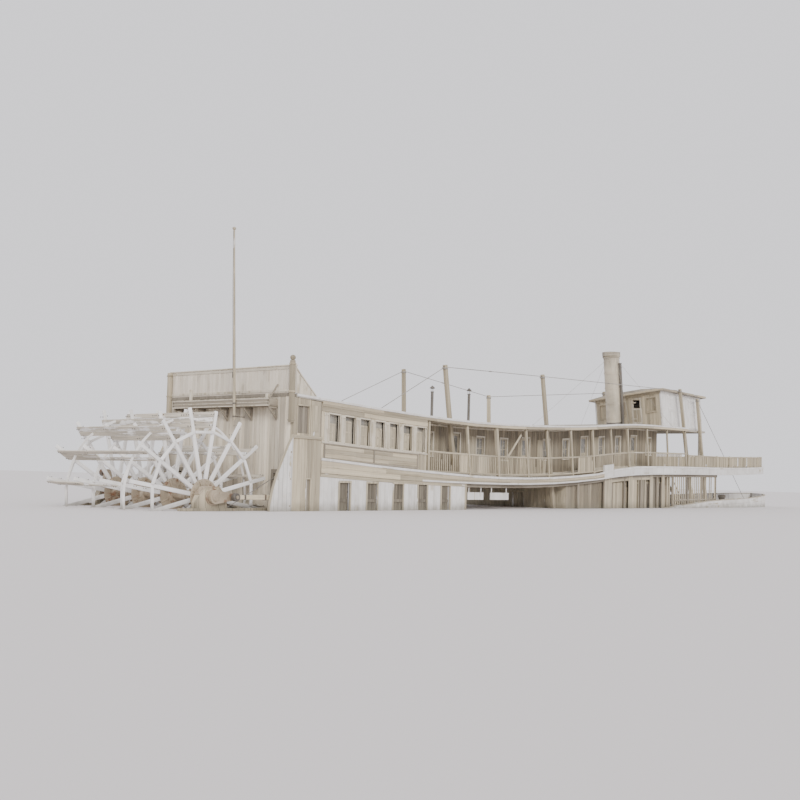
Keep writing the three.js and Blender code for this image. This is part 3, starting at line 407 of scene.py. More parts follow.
    def sash(self, at, hole, n, rail=0.05, columns=1, rows=2, bar=0.028):
        """A window's sash in its hole: stiles, rails and glazing bars."""
        t0, t1, low, high = hole
        n0, n1 = n - SASH_THICK / 2, n + SASH_THICK / 2
        for a in (t0, t1 - rail):
            self.board(at, a, a + rail, n0, n1, low, high)
        self.board(at, t0 + rail, t1 - rail, n0, n1, low, above(low, 1.4 * rail))
        self.board(at, t0 + rail, t1 - rail, n0, n1, above(high, -rail), high)
        for i in range(1, columns):
            t = t0 + (t1 - t0) * i / columns
            foot, head = above(low, rail), above(high, -rail)
            self.board(at, t - bar / 2, t + bar / 2, n0 + 0.008, n1 - 0.008, foot, head)
        for i in range(1, rows):
            foot = between(low, high, i / rows, -bar / 2)
            self.board(at, t0 + rail, t1 - rail, n0 + 0.004, n1 - 0.004, foot, above(foot, bar))

    def pane(self, at, hole, n=-0.055, inset=0.02, thick=PANE):
        """A sheet of glass in a hole."""
        t0, t1, low, high = hole
        self.board(at, t0 + inset, t1 - inset, n, n + thick, above(low, inset), above(high, -inset), 0.002)

    def build(self, finish, slot=None, body="vessel", replaces=()):
        """Makes the object, gives it its finish and hangs it on its body."""
        mesh = bpy.data.meshes.new(self.name)
        mesh.from_pydata([place(*self.bend(p)) for p in self.points], [], self.faces)
        run = mesh.attributes.new("run", "FLOAT_VECTOR", "CORNER")
        run.data.foreach_set("vector", [x for corner in self.runs for x in corner])
        mesh.shade_smooth()
        mesh.set_sharp_from_angle(angle=math.radians(35))
        mesh.materials.append(finish)
        made = bpy.data.objects.new(self.name, mesh)
        bpy.context.scene.collection.objects.link(made)
        slot = slot or USUAL_SLOT.get(finish.name)
        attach(made, body)
        if replaces:
            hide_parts(*replaces)


# Finishes: node materials in full-size metres


class Value:
    """What a node gives, with the arithmetic of the finishes."""

    def __init__(self, finish, socket):
        self.finish = finish
        self.socket = socket

    def __add__(self, other):
        return self.finish.math("ADD", self, other)

    def __sub__(self, other):
        return self.finish.math("SUBTRACT", self, other)

    def __mul__(self, other):
        return self.finish.math("MULTIPLY", self, other)

    def share(self, low, high, least=0.0, most=1.0):
        """The share of the way from low to high, smoothed and kept within its ends."""
        sockets = {0: self, 1: low, 2: high, 3: least, 4: most}
        return self.finish.node("MapRange", sockets, interpolation_type="SMOOTHSTEP")

    def dim(self, factor):
        """The colour times a grey factor."""
        return self.finish.mix(1.0, self, self.finish.join(factor, factor, factor), "MULTIPLY")

    def split(self):
        outputs = self.finish.node("SeparateXYZ", {0: self}).socket.node.outputs
        return [Value(self.finish, output) for output in outputs]


class Finish:
    """A node material, wired up by short calls."""

    def __init__(self, name):
        self.made = bpy.data.materials.new(name)
        self.made.use_nodes = True
        self.tree = self.made.node_tree
        self.shader = self.tree.nodes["Principled BSDF"]
        coordinates = self.node("TexCoord", {}, "Object")
        self.place = self.node("VectorMath", {0: coordinates, 3: 1 / SCALE}, operation="SCALE")

    def node(self, kind, sockets, output=0, **settings):
        """Adds a node, feeds its sockets with values or plain numbers, and gives its output."""
        made = self.tree.nodes.new("ShaderNode" + kind)
        for key, value in settings.items():
            setattr(made, key, value)
        for key, value in sockets.items():
            if isinstance(value, Value):
                self.tree.links.new(value.socket, made.inputs[key])
            else:
                made.inputs[key].default_value = value
        return Value(self, made.outputs[output])

    def math(self, operation, a, b=0.0):
        return self.node("Math", {0: a, 1: b}, operation=operation)

    def join(self, x, y, z):
        return self.node("CombineXYZ", {0: x, 1: y, 2: z})

    def stretched(self, x, y, z):
        """The place, with each of its parts times a factor."""
        return self.node("VectorMath", {0: self.place, 1: (x, y, z)}, operation="MULTIPLY")

    def noise(self, where, scale, detail=3.0, rough=0.55):
        return self.node("TexNoise", {"Vector": where, "Scale": scale, "Detail": detail, "Roughness": rough})

    def mix(self, share, a, b, blend="MIX"):
        a, b = ((*color, 1) if isinstance(color, tuple) else color for color in (a, b))
        return self.node("Mix", {0: share, 6: a, 7: b}, 2, data_type="RGBA", blend_type=blend)

    def over_water(self):
        return self.place.split()[2] + KEEL

    def finish(self, color, roughness, height=None, distance=0.01, metallic=0.0):
        self.tree.links.new(color.socket, self.shader.inputs["Base Color"])
        self.tree.links.new(roughness.socket, self.shader.inputs["Roughness"])
        self.shader.inputs["Metallic"].default_value = metallic
        if height:
            bump = self.node("Bump", {"Strength": 0.6, "Distance": distance * SCALE, "Height": height})
            self.tree.links.new(bump.socket, self.shader.inputs["Normal"])
        return self.made


class Grain:
    """Where a point lies on its board: along and across the grain, and the board's own chance."""

    def __init__(self, finish, axis=None, board=0.3, length=4.0):
        if axis:
            self.read_place(finish, axis, board, length)
        else:
            run = finish.node("Attribute", {}, "Vector", attribute_name="run")
            self.along, self.across, self.chance = run.split()
            self.joint = None
        seed = self.chance * 60.0
        fine = finish.join(self.along * 1.3, self.across * 26.0, seed)
        broad = finish.join(self.along * 0.35, self.across * 7.0, seed)
        moved = finish.node("VectorMath", {0: finish.place, 1: finish.join(0, 0, seed)}, operation="ADD")
        self.fine = finish.noise(fine, 1.0, 4.0, 0.6)
        self.broad = finish.noise(broad, 1.0)
        self.patch = finish.noise(moved, 1.1, 4.0, 0.6)
        self.other = finish.math("FRACT", self.chance * 17.31)

    def read_place(self, finish, axis, board, length):
        """Boards of one width and length along an axis, told apart by where a point lies."""
        x, y, z = finish.place.split()
        self.along = z if axis == "up" else x
        self.across = x + y if axis == "up" else y if axis == "deck" else z
        row = finish.math("FLOOR", finish.math("DIVIDE", self.across, board))
        piece = finish.math("FLOOR", finish.math("DIVIDE", self.along + row * (0.37 * length), length))
        key = {"Vector": finish.join(row, piece, 0.5)}
        self.chance = finish.node("TexWhiteNoise", key, noise_dimensions="3D")
        self.joint = finish.math("PINGPONG", self.across, board / 2).share(0.0, 0.015)


def darker(color, *shares):
    """A colour with all its parts times one share, or each times its own."""
    return tuple(part * share for part, share in zip(color, shares * 3 if len(shares) == 1 else shares))


def weathering(finish, color, strength):
    """Rain streaks, broad stains and the tide of grime just over the water line."""
    streaks = finish.noise(finish.stretched(5.0, 5.0, 0.5), 1.0, 3.0, 0.6).share(0.48, 0.75)
    color = finish.mix(streaks * (strength * 0.55), color, (0.30, 0.265, 0.205))
    broad = finish.noise(finish.place, 0.35, 4.0, 0.6).share(0.42, 0.7)
    color = finish.mix(broad * (strength * 0.35), color, (0.44, 0.40, 0.34))
    ragged = finish.over_water() + finish.noise(finish.place, 2.2) * 0.5
    return finish.mix(ragged.share(0.75, 0.1) * 0.75, color, (0.17, 0.155, 0.115))


def bare_boards(name, light, dark, under=None, **grain):
    """Weathered boards without paint, or with paint on their under sides only."""
    finish = Finish(name)
    g = Grain(finish, **grain)
    color = finish.mix(g.broad.share(0.3, 0.7), dark, light)
    color = finish.mix(g.fine.share(0.56, 0.72, 0.0, 0.55), color, darker(dark, 0.45))
    color = color.dim(g.chance.share(0.0, 1.0, 0.72, 1.22))
    color = finish.mix(g.other.share(0.7, 1.0, 0.0, 0.35), color, darker(light, 0.62))
    color = weathering(finish, color, 0.45)
    if under:
        up = finish.node("NewGeometry", {}, "Normal").split()[2]
        color = finish.mix(up.share(-0.5, -0.9), color, finish.mix(g.patch, under, light).dim(1.0))
    height = g.fine
    if g.joint:
        color = color.dim(g.joint.share(0.0, 1.0, 0.35, 1.0))
        height = finish.math("MINIMUM", g.joint, g.fine.share(0.0, 1.0, 0.7, 1.0))
    return finish.finish(color, g.fine.share(0.3, 0.7, 0.72, 0.92), height, 0.012)


def old_paint(name, paint, wood, worn=0.5, dirt=0.5, **grain):
    """Old paint on wood: faded and stained, and gone from parts of each board."""
    finish = Finish(name)
    g = Grain(finish, **grain)
    color = finish.mix(g.patch.share(0.35, 0.7), paint, darker(paint, 0.86, 0.85, 0.83))
    color = color.dim(g.chance.share(0.0, 1.0, 0.90, 1.04))
    under = finish.mix(g.broad.share(0.3, 0.7), darker(wood, 0.7), wood)
    under = under.dim(g.fine.share(0.3, 0.75, 1.1, 0.7))
    edge = 0.80 - 0.34 * worn
    flaked = g.broad * 0.55 + g.patch * 0.45 + g.other * (0.16 * worn) + g.fine * 0.10
    gone = flaked.share(edge, edge + 0.035)
    color = weathering(finish, finish.mix(gone, color, under), dirt)
    coat = g.fine * 0.25 - gone
    if g.joint:
        color = color.dim(g.joint.share(0.0, 1.0, 0.5, 1.0))
        coat = coat + g.joint * 2.0
    return finish.finish(color, gone.share(0.0, 1.0, 0.58, 0.9), coat, 0.008)


def canvas(name, tint):
    """Painted canvas on a roof: seams, patches, tar and dust."""
    finish = Finish(name)
    seam = finish.math("PINGPONG", finish.place.split()[0], 0.46).share(0.0, 0.02)
    cloth = finish.noise(finish.place, 60.0, 2.0, 0.5)
    patch = finish.noise(finish.place, 0.8, 4.0, 0.6).share(0.4, 0.65)
    tar = finish.noise(finish.place, 3.1, 5.0, 0.65).share(0.58, 0.68)
    color = finish.mix(tar, finish.mix(patch, tint, darker(tint, 0.72)), (0.13, 0.12, 0.105))
    color = color.dim(seam.share(0.0, 1.0, 0.6, 1.0)).dim(cloth.share(0.3, 0.7, 0.93, 1.05))
    return finish.finish(color, patch.share(0.0, 1.0, 0.75, 0.9), seam * 0.6 + cloth * 0.4)


def old_iron(name, base, rust=0.5, metallic=0.35, soot_from=None):
    """Sheet and cast iron: faded coat, rust blooms, runs under them, and soot towards a top."""
    finish = Finish(name)
    edge = 0.72 - 0.28 * rust
    rusty = finish.noise(finish.place, 2.6, 6.0, 0.65).share(edge, edge + 0.14)
    fine = finish.noise(finish.place, 34.0, 4.0, 0.6)
    faded = finish.noise(finish.place, 0.9, 3.0, 0.6).share(0.35, 0.7)
    color = finish.mix(faded, base, darker(base, 0.7))
    color = finish.mix(rusty, color, finish.mix(fine, (0.115, 0.055, 0.028), (0.26, 0.135, 0.07)))
    runs = finish.noise(finish.stretched(9.0, 9.0, 0.6), 1.0, 3.0, 0.6)
    color = finish.mix(runs.share(0.52, 0.75, 0.0, 0.5 * rust), color, (0.17, 0.10, 0.06))
    if soot_from:
        ragged = finish.over_water() + finish.noise(finish.place, 1.7) * 1.6
        soot = ragged.share(soot_from, soot_from + 2.4, 0.0, 0.62)
        color = finish.mix(soot, color, (0.045, 0.041, 0.037))
    color = color.dim(fine.share(0.3, 0.7, 0.92, 1.06))
    return finish.finish(color, rusty.share(0.0, 1.0, 0.5, 0.88), rusty * 0.6 + fine * 0.4, 0.006, metallic)


def old_glass(name, shade_behind, dusty, cover=1.0):
    """Window glass, dull with dust and streaks, over a dark base colour that is painted shade of the room
    behind.
    """
    finish = Finish(name)
    dust = finish.noise(finish.place, 2.2, 4.0, 0.6).share(0.35, 0.75)
    made = finish.finish(finish.mix(dust, shade_behind, dusty), dust.share(0.0, 1.0, 0.06, 0.42))
    finish.shader.inputs["Alpha"].default_value = cover
    return made


WHITE = (0.78, 0.765, 0.75)
CREAM = (0.665, 0.605, 0.495)
TAN = (0.54, 0.47, 0.345)
BROWN = (0.385, 0.325, 0.23)
white = old_paint("white_paint", WHITE, TAN, worn=0.35)
worn_white = old_paint("worn_white_paint", WHITE, TAN, worn=0.95)
pilot_white = old_paint("pilothouse_white", (0.84, 0.83, 0.82), TAN, worn=0.3, dirt=0.3)
white_wheel = old_paint("wheel_white", (0.91, 0.90, 0.895), TAN, worn=0.15, dirt=0.15)
paddle_paint = old_paint("paddle_paint", (0.88, 0.865, 0.85), (0.68, 0.62, 0.52), worn=0.85, dirt=0.25)
cream = old_paint("cream_paint", CREAM, TAN)
worn_cream = old_paint("worn_cream_paint", CREAM, TAN, worn=1.0)
screen_paint = old_paint("screen_paint", (0.745, 0.675, 0.57), (0.60, 0.53, 0.42), worn=0.45, dirt=0.35)
boards = bare_boards("weathered_boards", TAN, BROWN)
dark_boards = bare_boards("old_dark_boards", (0.33, 0.29, 0.23), (0.20, 0.17, 0.13))
bulkhead_boards = bare_boards("bulkhead_boards", (0.76, 0.69, 0.565), (0.56, 0.49, 0.38))
# Brown weathered boards, darkened further as painted shade of the roof and deck over them
shade_darkened_wood = bare_boards("cabin_boards", (0.315, 0.27, 0.195), (0.205, 0.17, 0.12))
# Boarding in the house's doorways, very dark as painted shade of the rooms behind it
door_boards_painted_shade = bare_boards("door_boards_painted_shade", (0.19, 0.165, 0.125), (0.115, 0.098, 0.073))
rail_boards = bare_boards("rail_boards", (0.46, 0.395, 0.285), (0.33, 0.28, 0.195))
rudder_boards = bare_boards("rudder_planks", (0.30, 0.26, 0.20), (0.19, 0.16, 0.12))
roof_cloth = canvas("roof_canvas", (0.46, 0.42, 0.355))
iron = old_iron("old_iron", (0.27, 0.245, 0.21), rust=0.6)
tan_iron = old_iron("stack_iron", (0.60, 0.535, 0.42), rust=0.3, metallic=0.05, soot_from=9.4)
dark_iron = old_iron("dark_iron", (0.17, 0.155, 0.135))
rusty_iron = old_iron("rusty_iron", (0.44, 0.365, 0.27), rust=0.7, metallic=0.15)
rod_iron = old_iron("rod_iron", (0.36, 0.335, 0.30), rust=0.4)
# The panes' first colour is painted shade of the rooms behind, wholly where the glass is opaque; their second
# colour is dust
glass = old_glass("window_glass", (0.22, 0.205, 0.175), (0.44, 0.41, 0.35))
room_shade_glass = old_glass("dark_window_glass", (0.12, 0.115, 0.10), (0.30, 0.28, 0.24))
clear_glass = old_glass("clear_glass", (0.15, 0.15, 0.14), (0.40, 0.38, 0.34), 0.4)

# The slot of each finish, which build looks up where a drawn piece names no other
SLOT_FINISHES = {
    "white_paint": (white, worn_white, pilot_white),
    "wheel_paint": (white_wheel, paddle_paint),
    "cream_paint": (cream, worn_cream, screen_paint),
    "weathered_boards": (
        boards, dark_boards, bulkhead_boards, shade_darkened_wood, door_boards_painted_shade, rail_boards, rudder_boards,
    ),
    "roof_canvas": (roof_cloth,),
    "iron": (iron, tan_iron, dark_iron, rusty_iron, rod_iron),
}
USUAL_SLOT = {finish.name: slot for slot, finishes in SLOT_FINISHES.items() for finish in finishes}

# The frame's own nodes, whose boards run along the named axis
cad_white = old_paint("white_walls", WHITE, TAN, worn=0.35, axis="up", board=0.22)
cad_cream = old_paint("cream_walls", CREAM, TAN, axis="up", board=0.2)
cad_boards = bare_boards("board_walls", TAN, BROWN, axis="up")
cad_deck = bare_boards(
    "deck_planking", (0.48, 0.43, 0.36), (0.31, 0.27, 0.21), under=(0.74, 0.70, 0.63), axis="deck", board=0.15
)
cad_hull = old_paint("hull_planking", WHITE, TAN, worn=0.6, axis="side", board=0.24)
CAD_SLOTS = {
    "white_paint": cad_white,
    "wheel_paint": cad_white,
    "cream_paint": cad_cream,
    "weathered_boards": cad_boards,
    "deck_planks": cad_deck,
    "roof_canvas": roof_cloth,
    "iron": iron,
}


def finish_frame():
    """Every node of the frame takes the finish of its slot, and a few their own."""
    own = {"hull": cad_hull, "stack": tan_iron, "escape_pipe": dark_iron, "wheel_shaft": rusty_iron}
    for part in frame["record"]["subparts"]:
        materials = frame["nodes"][part["node"]].data.materials
        materials.clear()
        materials.append(own.get(part["node"], CAD_SLOTS[part["material_slot"]]))


finish_frame()


# Paddle wheel

FRAMES = (-2.45, -0.82, 0.82, 2.45)
ARMS = 16
PHASE = 13.5  # degrees from forward up to the first arm
ARM = Sizes(wide=0.15, thick=0.09, root=0.40)
FLANGE = 0.62
SHAFT = 0.148
CHORD = 2.3  # radius of the braces between the arms
FLANGE_BOLTS = (0.42, 0.55)  # radii
BOARD_BOLTS = (2.54, 2.94)
PADDLE_ROWS = ((2.44, 2.63), (2.645, 2.835), (2.85, 3.04))
PADDLE_HALF = 2.5
PADDLE_THICK = 0.045
FATES = Sizes(gone=0.10, short_to_starboard=0.20, short_to_port=0.28)  # chances, each with those before it
COLLARS = ((2.63, 0.03), (1.65, 0.05), (0.2, 0.05))  # Y and half the length
BAND = Sizes(rows=(-1.65, 1.65), inner=2.73, outer=2.81, half=0.014, steps=96)


def wheel_at(radius, degrees, y, beside=0.0):
    """A place on the wheel, at a radius and an angle, moved beside that ray by a little."""
    fore, up = turned(degrees)
    s = WHEEL.s + radius * fore - beside * up
    return Vector((s, y, WHEEL.z + radius * up + beside * fore))


def ray(degrees):
    fore, up = turned(degrees)
    return Vector((-up, 0, fore))


def arm_angles():
    return [PHASE + i * 360 / ARMS for i in range(ARMS)]


def draw_wheel_frame(index, y):
    piece = Piece(f"wheel_arms_{index}")
    for angle in arm_angles():
        tip = WHEEL.radius - piece.random.choice((0.02, 0.02, 0.03, 0.12))
        sag = piece.random.uniform(-0.02, 0.02)
        path = [wheel_at(ARM.root, angle, y), wheel_at(1.8, angle, y, sag / 2), wheel_at(tip, angle, y, sag)]
        piece.bar(path, ARM.wide, ARM.thick, ray(angle), 0.014, taper=0.86)
        chord = [wheel_at(CHORD, angle + turn, y - 0.07) for turn in (0.8, 360 / ARMS - 0.8)]
        piece.bar(chord, 0.07, 0.1, bevel=0.01)
    piece.turn((WHEEL.s, y - 0.055, WHEEL.z), ACROSS, ((0.50, 0), (0.50, 0.11)), 32)
    piece.build(white_wheel, body="paddle_wheel", replaces=[f"wheel_frame_{index}"])


def draw_hub(index, y):
    """Cast flanges with their ribs and rings of bolts."""
    piece = Piece(f"wheel_hub_{index}")
    profile = ((FLANGE, 0), (FLANGE, 0.02), (FLANGE - 0.02, 0.03), (0.30, 0.045), (0.25, 0.12), (0.22, 0.14))
    for out in (-1, 1):
        face = y + out * 0.05
        piece.turn((WHEEL.s, face, WHEEL.z), (0, out, 0), (*profile, (SHAFT, 0.14), (SHAFT, 0)), 32)
        for i, angle in enumerate(arm_angles()):
            for radius in FLANGE_BOLTS:
                piece.bolt(wheel_at(radius, angle, face + out * 0.03), (0, out, 0), 0.022, 0.025)
            if i % 2 == 0:
                beside = angle + 180 / ARMS
                root = wheel_at(0.22, beside, face + out * 0.06)
                tip = wheel_at(0.58, beside, face + out * 0.035)
                piece.bar([root, tip], 0.03, 0.06, ray(beside), 0.006)
    piece.build(rusty_iron, body="paddle_wheel")


def draw_paddles():
    """Three boards to an arm, warped, and some of them broken short or gone."""
    piece = Piece("paddle_boards")
    chance = piece.random
    side = (ARM.wide + PADDLE_THICK) / 2 + 0.004
    for angle in arm_angles():
        across = wheel_at(1, angle, 0) - wheel_at(0, angle, 0)
        for low, high in PADDLE_ROWS:
            fate = chance.random()
            if fate < FATES.gone:
                continue
            start, end = -PADDLE_HALF, PADDLE_HALF
            if fate < FATES.short_to_starboard:
                start = chance.choice(FRAMES[1:3]) + chance.uniform(-0.5, 0.2)
            elif fate < FATES.short_to_port:
                end = chance.choice(FRAMES[1:3]) + chance.uniform(-0.2, 0.5)
            radius = (low + high) / 2 + chance.uniform(-0.006, 0.006)
            stations = [start, *(y for y in (-1.6, 0, 1.6) if start + 0.3 < y < end - 0.3), end]
            path = [wheel_at(radius, angle, y, side + chance.uniform(0, 0.012)) for y in stations]
            piece.bar(path, high - low - 0.006, PADDLE_THICK, across, 0.01)
    piece.build(paddle_paint, body="paddle_wheel", replaces=["paddle_buckets"])


def draw_paddle_irons():
    """U-bolts that hold the boards to the arms, and the iron circles that tie the arms."""
    piece = Piece("paddle_irons")
    sides = [(beside, out) for beside in (-0.08, 0.13) for out in (-0.062, 0.062)]
    for angle, y, radius in product(arm_angles(), FRAMES, BOARD_BOLTS):
        for beside, out in sides:
            way = ray(angle) * math.copysign(1, beside)
            piece.bolt(wheel_at(radius, angle, y + out, beside), way, 0.014, 0.02)
    piece.build(dark_iron, body="paddle_wheel")
    piece = Piece("paddle_bands")
    inner, outer, half = BAND.inner, BAND.outer, BAND.half
    outline = ((inner, -half), (outer, -half), (outer, half), (inner, half))
    for y in BAND.rows:
        angles = [PHASE + i * 360 / BAND.steps for i in range(BAND.steps)]
        piece.loft([[wheel_at(radius, angle, y + n) for radius, n in outline] for angle in angles], loop=True)
    piece.build(white_wheel, body="paddle_wheel")


def draw_shaft_fittings():
    """Collars on the shaft, and the crank bosses with their bolts."""
    piece = Piece("shaft_fittings")
    for out in (-1, 1):
        for y, half in COLLARS:
            foot = (WHEEL.s, out * y - half, WHEEL.z)
            piece.turn(foot, ACROSS, hoop(0.165, 0.19, 2 * half, 0.012), 24)
        boss = ((0.16, 0), (0.16, 0.03), (0.13, 0.045), (0.05, 0.045))
        piece.turn((WHEEL.s, out * 3.15, WHEEL.z), (0, out, 0), boss, 24)
        piece.bolt_ring((WHEEL.s, out * 3.19, WHEEL.z), (0, out, 0), 0.1, 6, 0.016, 0.016)
    piece.build(rusty_iron, body="paddle_wheel")


for index, y in enumerate(FRAMES, 1):
    draw_wheel_frame(index, y)
    draw_hub(index, y)
draw_paddles()
draw_paddle_irons()
draw_shaft_fittings()


# Stern: bulkhead, screen, posts, gallery, flagstaff, corner walls and splash wings

BULKHEAD = Sizes(half=3.42, slot=2.63, slot_top=1.45)
SCREEN = Sizes(half=3.6, high=5.43, thick=0.08, wing=1.15)
CORNER_POST = Sizes(half=0.085, low=3.3)
CORNER_POST_TOPS = {"starboard": 5.62, "port": 5.43}
GALLERY = Sizes(low=3.9, high=4.2, half=2.75, aft=-0.52, brackets=(-2.7, -1.35, 1.35, 2.7, 0.0))
FLAG = Sizes(y=-0.95, low=3.4, bend=5.0, high=10.85, radius=0.055, tip=0.032, lean=0.046)
CORNER = Sizes(s1=1.55, inner=3.5, outer=3.58, ledge=2.72)
UPPER_SLOT, LOWER_SLOT = (0.2, 0.82, 2.92, 3.95), (0.78, 1.0, -0.35, 1.2)  # from T, to T, low, high
WING = (
    (0, 2.86), (-0.22, 2.5), (-0.48, 2.0), (-0.78, 1.4),
    (-1.0, 0.8), (-1.14, 0.2), (-1.2, -0.5), (-1.2, -1.1),
)


def draw_bulkhead():
    piece = Piece("stern_boards")
    at = cross_wall(0, -1)
    slot, half = BULKHEAD.slot, BULKHEAD.half
    slots = [(a, b, -5, BULKHEAD.slot_top) for a, b in ((-half, -slot), (slot, half))]
    piece.planks(at, -half, half, main(0), roof(0) + 0.02, 0.29, -0.01, 0.024, slots)
    piece.build(bulkhead_boards)
    trim = Piece("stern_trim")
    for side, _ in SIDES:
        a, b = sorted((side * slot, side * half))
        trim.board(at, a, b, 0, 0.06, BULKHEAD.slot_top - 0.05, BULKHEAD.slot_top + 0.1)
        a, b = sorted((side * slot, side * (slot - 0.12)))
        trim.board(at, a, b, 0, 0.05, main(0), BULKHEAD.slot_top + 0.1)
    trim.board(at, -half, half, 0.01, 0.05, roof(0) - 0.08, roof(0) + 0.04)
    trim.build(dark_boards)


def draw_screen():
    """Thin upright boards with a cap, and capped wings that slope down to the roof."""
    piece = Piece("screen_boards")
    low, high, half = roof(0) + 0.03, SCREEN.high, SCREEN.half
    for face, out in ((0, -1), (SCREEN.thick, 1)):
        piece.planks(cross_wall(face, out), 0.18 - half, half - 0.18, low, high - 0.01, 0.155, -0.01, 0.014)
    piece.build(screen_paint)
    trim = Piece("screen_trim")
    middle = SCREEN.thick / 2
    trim.bar([(middle, 0.01 - half, high + 0.02), (middle, half - 0.01, high + 0.02)], 0.17, 0.05, ALONG)
    for z in (low + 0.06, high - 0.12):
        trim.board(cross_wall(0, -1), 0.18 - half, half - 0.18, 0, 0.035, z, z + 0.09)
    for side, _ in SIDES:
        y = side * (half - 0.05)
        foot = roof(SCREEN.wing)
        trim.bar([(0.05, y, high - 0.1), (SCREEN.wing + 0.02, y, foot + 0.04)], 0.13, 0.05)
        for t in (0.2, 0.42, 0.64, 0.86):
            top = high - 0.16 - (high - 0.13 - foot) * (t + 0.03) / SCREEN.wing
            trim.board(side_wall(side * half), t, t + 0.03, -0.01, 0.012, foot + 0.01, top)
    trim.build(cream)


def draw_corner_posts():
    for side, name in SIDES:
        piece = Piece(f"corner_post_{name}_drawn")
        half, low, top = CORNER_POST.half, CORNER_POST.low, CORNER_POST_TOPS[name]
        s, y, wide = -half, side * (SIDE - half), 2 * half
        piece.post(s, y, low, top, wide, wide, bevel=0.02)
        for z in (low + 0.06, roof(0) + 0.05, top - 0.16):
            piece.post(s, y, z, z + 0.06, wide + 0.03, wide + 0.03, bevel=0.01)
        if side < 0:
            ball = (
                (0.05, -0.02), (0.055, 0.02), (0.09, 0.05), (0.11, 0.11),
                (0.09, 0.17), (0.05, 0.2), (0.01, 0.21),
            )
            piece.turn((s, y, top - 0.01), UP, ball, 20)
        piece.build(rail_boards, "cream_paint", replaces=[f"corner_post_{name}"])


def draw_gallery():
    piece = Piece("gallery_boards")
    low, high, half, aft = GALLERY.low, GALLERY.high, GALLERY.half, GALLERY.aft
    for i in range(3):
        s = aft + 0.155 + i * 0.15
        piece.bar([(s, -half, low + 0.035), (s, half, low + 0.035)], 0.14, 0.07, ALONG)
    piece.bar([(aft + 0.035, -half, low + 0.15), (aft + 0.035, half, low + 0.15)], 0.07, 0.3, ALONG)
    for y in GALLERY.brackets:
        piece.post(-0.04, y, 3.4, low, 0.08, 0.08)
        piece.bar([(aft + 0.06, y, low - 0.04), (-0.02, y, low - 0.04)], 0.08, 0.08)
        piece.bar([(aft + 0.08, y, low - 0.05), (-0.05, y, 3.46)], 0.07, 0.07)
    for side, _ in SIDES:
        y = side * (half - 0.03)
        piece.bar([(aft, y, low + 0.15), (-0.01, y, low + 0.15)], 0.05, 0.28)
        if side < 0:
            piece.bar([(-0.45, y, high), (-0.03, y, high + 0.55)], 0.05, 0.06)
    piece.build(dark_boards, replaces=["stern_gallery"])
    trim = Piece("gallery_mouldings")
    for z in (low + 0.01, low + 0.13, high - 0.04):
        trim.board(cross_wall(aft, -1), -half, half, -0.01, 0.022, z, z + 0.035)
    for y, foot, top, wide in ((1.72, low, high + 0.45, 0.1), (-2.62, high - 0.02, high + 0.16, 0.14)):
        trim.post(aft + 0.06, y, foot, top, wide, wide)
    trim.build(cream)


def flag_at(z, off=0.0):
    return Vector((GALLERY.aft - 0.056 - off - FLAG.lean * (z - GALLERY.low), FLAG.y, z))


def draw_flagstaff():
    piece = Piece("flagstaff_drawn")
    radius, high = FLAG.radius, FLAG.high
    heights = (FLAG.low, FLAG.bend, 7.0, 9.0, high - 0.15)
    sizes = (radius, radius, 0.047, 0.039, FLAG.tip)
    for z0, z1, r0, r1 in zip(heights, heights[1:], sizes, sizes[1:]):
        piece.tube([flag_at(z0), flag_at(z1 + 0.01)], r0, 12, r1)
    truck = ((0.03, -0.02), (0.06, 0.0), (0.075, 0.03), (0.075, 0.06), (0.05, 0.085), (0.02, 0.1))
    axis = flag_at(high) - flag_at(high - 1)
    piece.turn(flag_at(high - 0.155), axis, truck, 14)
    piece.build(worn_white, "cream_paint", replaces=["flagstaff"])
    irons = Piece("flagstaff_irons")
    for z in (GALLERY.low + 0.1, FLAG.low + 0.1):
        foot = flag_at(z)
        irons.turn(foot, axis, hoop(radius + 0.003, radius + 0.012, 0.06, 0.01), 14)
        irons.bar([foot + Vector((0.05, 0, 0.03)), (-0.02, FLAG.y, z + 0.03)], 0.04, 0.03)
    halyard = [flag_at(5.1, 0.075), flag_at(8.0, 0.09), flag_at(high - 0.2, 0.045)]
    irons.tube(halyard, 0.006, 5)
    irons.bar([flag_at(5.0, 0.09), flag_at(5.22, 0.09)], 0.03, 0.03, bevel=0.008)
    irons.build(dark_iron)


def draw_corner_wall(side, name):
    at = side_wall(side * CORNER.outer)
    ledge, end, top = CORNER.ledge, CORNER.s1, under_roof(0)
    deep = CORNER.inner - CORNER.outer
    piece = Piece(f"corner_boards_{name}")
    piece.planks(at, 0.0, end, main, ledge, 0.26, deep, 0, [LOWER_SLOT])
    piece.planks(at, 0.0, 0.92, ledge + 0.12, top, 0.2, deep, 0, [UPPER_SLOT])
    piece.build(boards, replaces=[f"corner_wall_{name}"])
    light = Piece(f"corner_panel_{name}")
    light.board(at, 0.93, 1.44, deep, 0.012, ledge + 0.12, under_roof(0.02))
    light.board(at, 1.0, 1.37, 0, 0.03, ledge + 0.3, under_roof(0.2))
    light.strake(at, 0.0, end, deep, 0.055, ledge, ledge + 0.12, 0.015)
    light.surround(at, UPPER_SLOT, 0.05, -0.02, 0.018)
    light.surround(at, LOWER_SLOT, 0.045, -0.02, 0.018)
    light.build(worn_white)
    dark = Piece(f"corner_shadow_board_{name}")
    dark.board(at, 1.46, end, deep, -0.035, ledge + 0.12, top)
    for t0, t1, low, high in (UPPER_SLOT, LOWER_SLOT):
        dark.planks(at, t0 - 0.03, t1 + 0.03, low, high, 0.18, deep, deep + 0.02)
    dark.build(dark_boards)


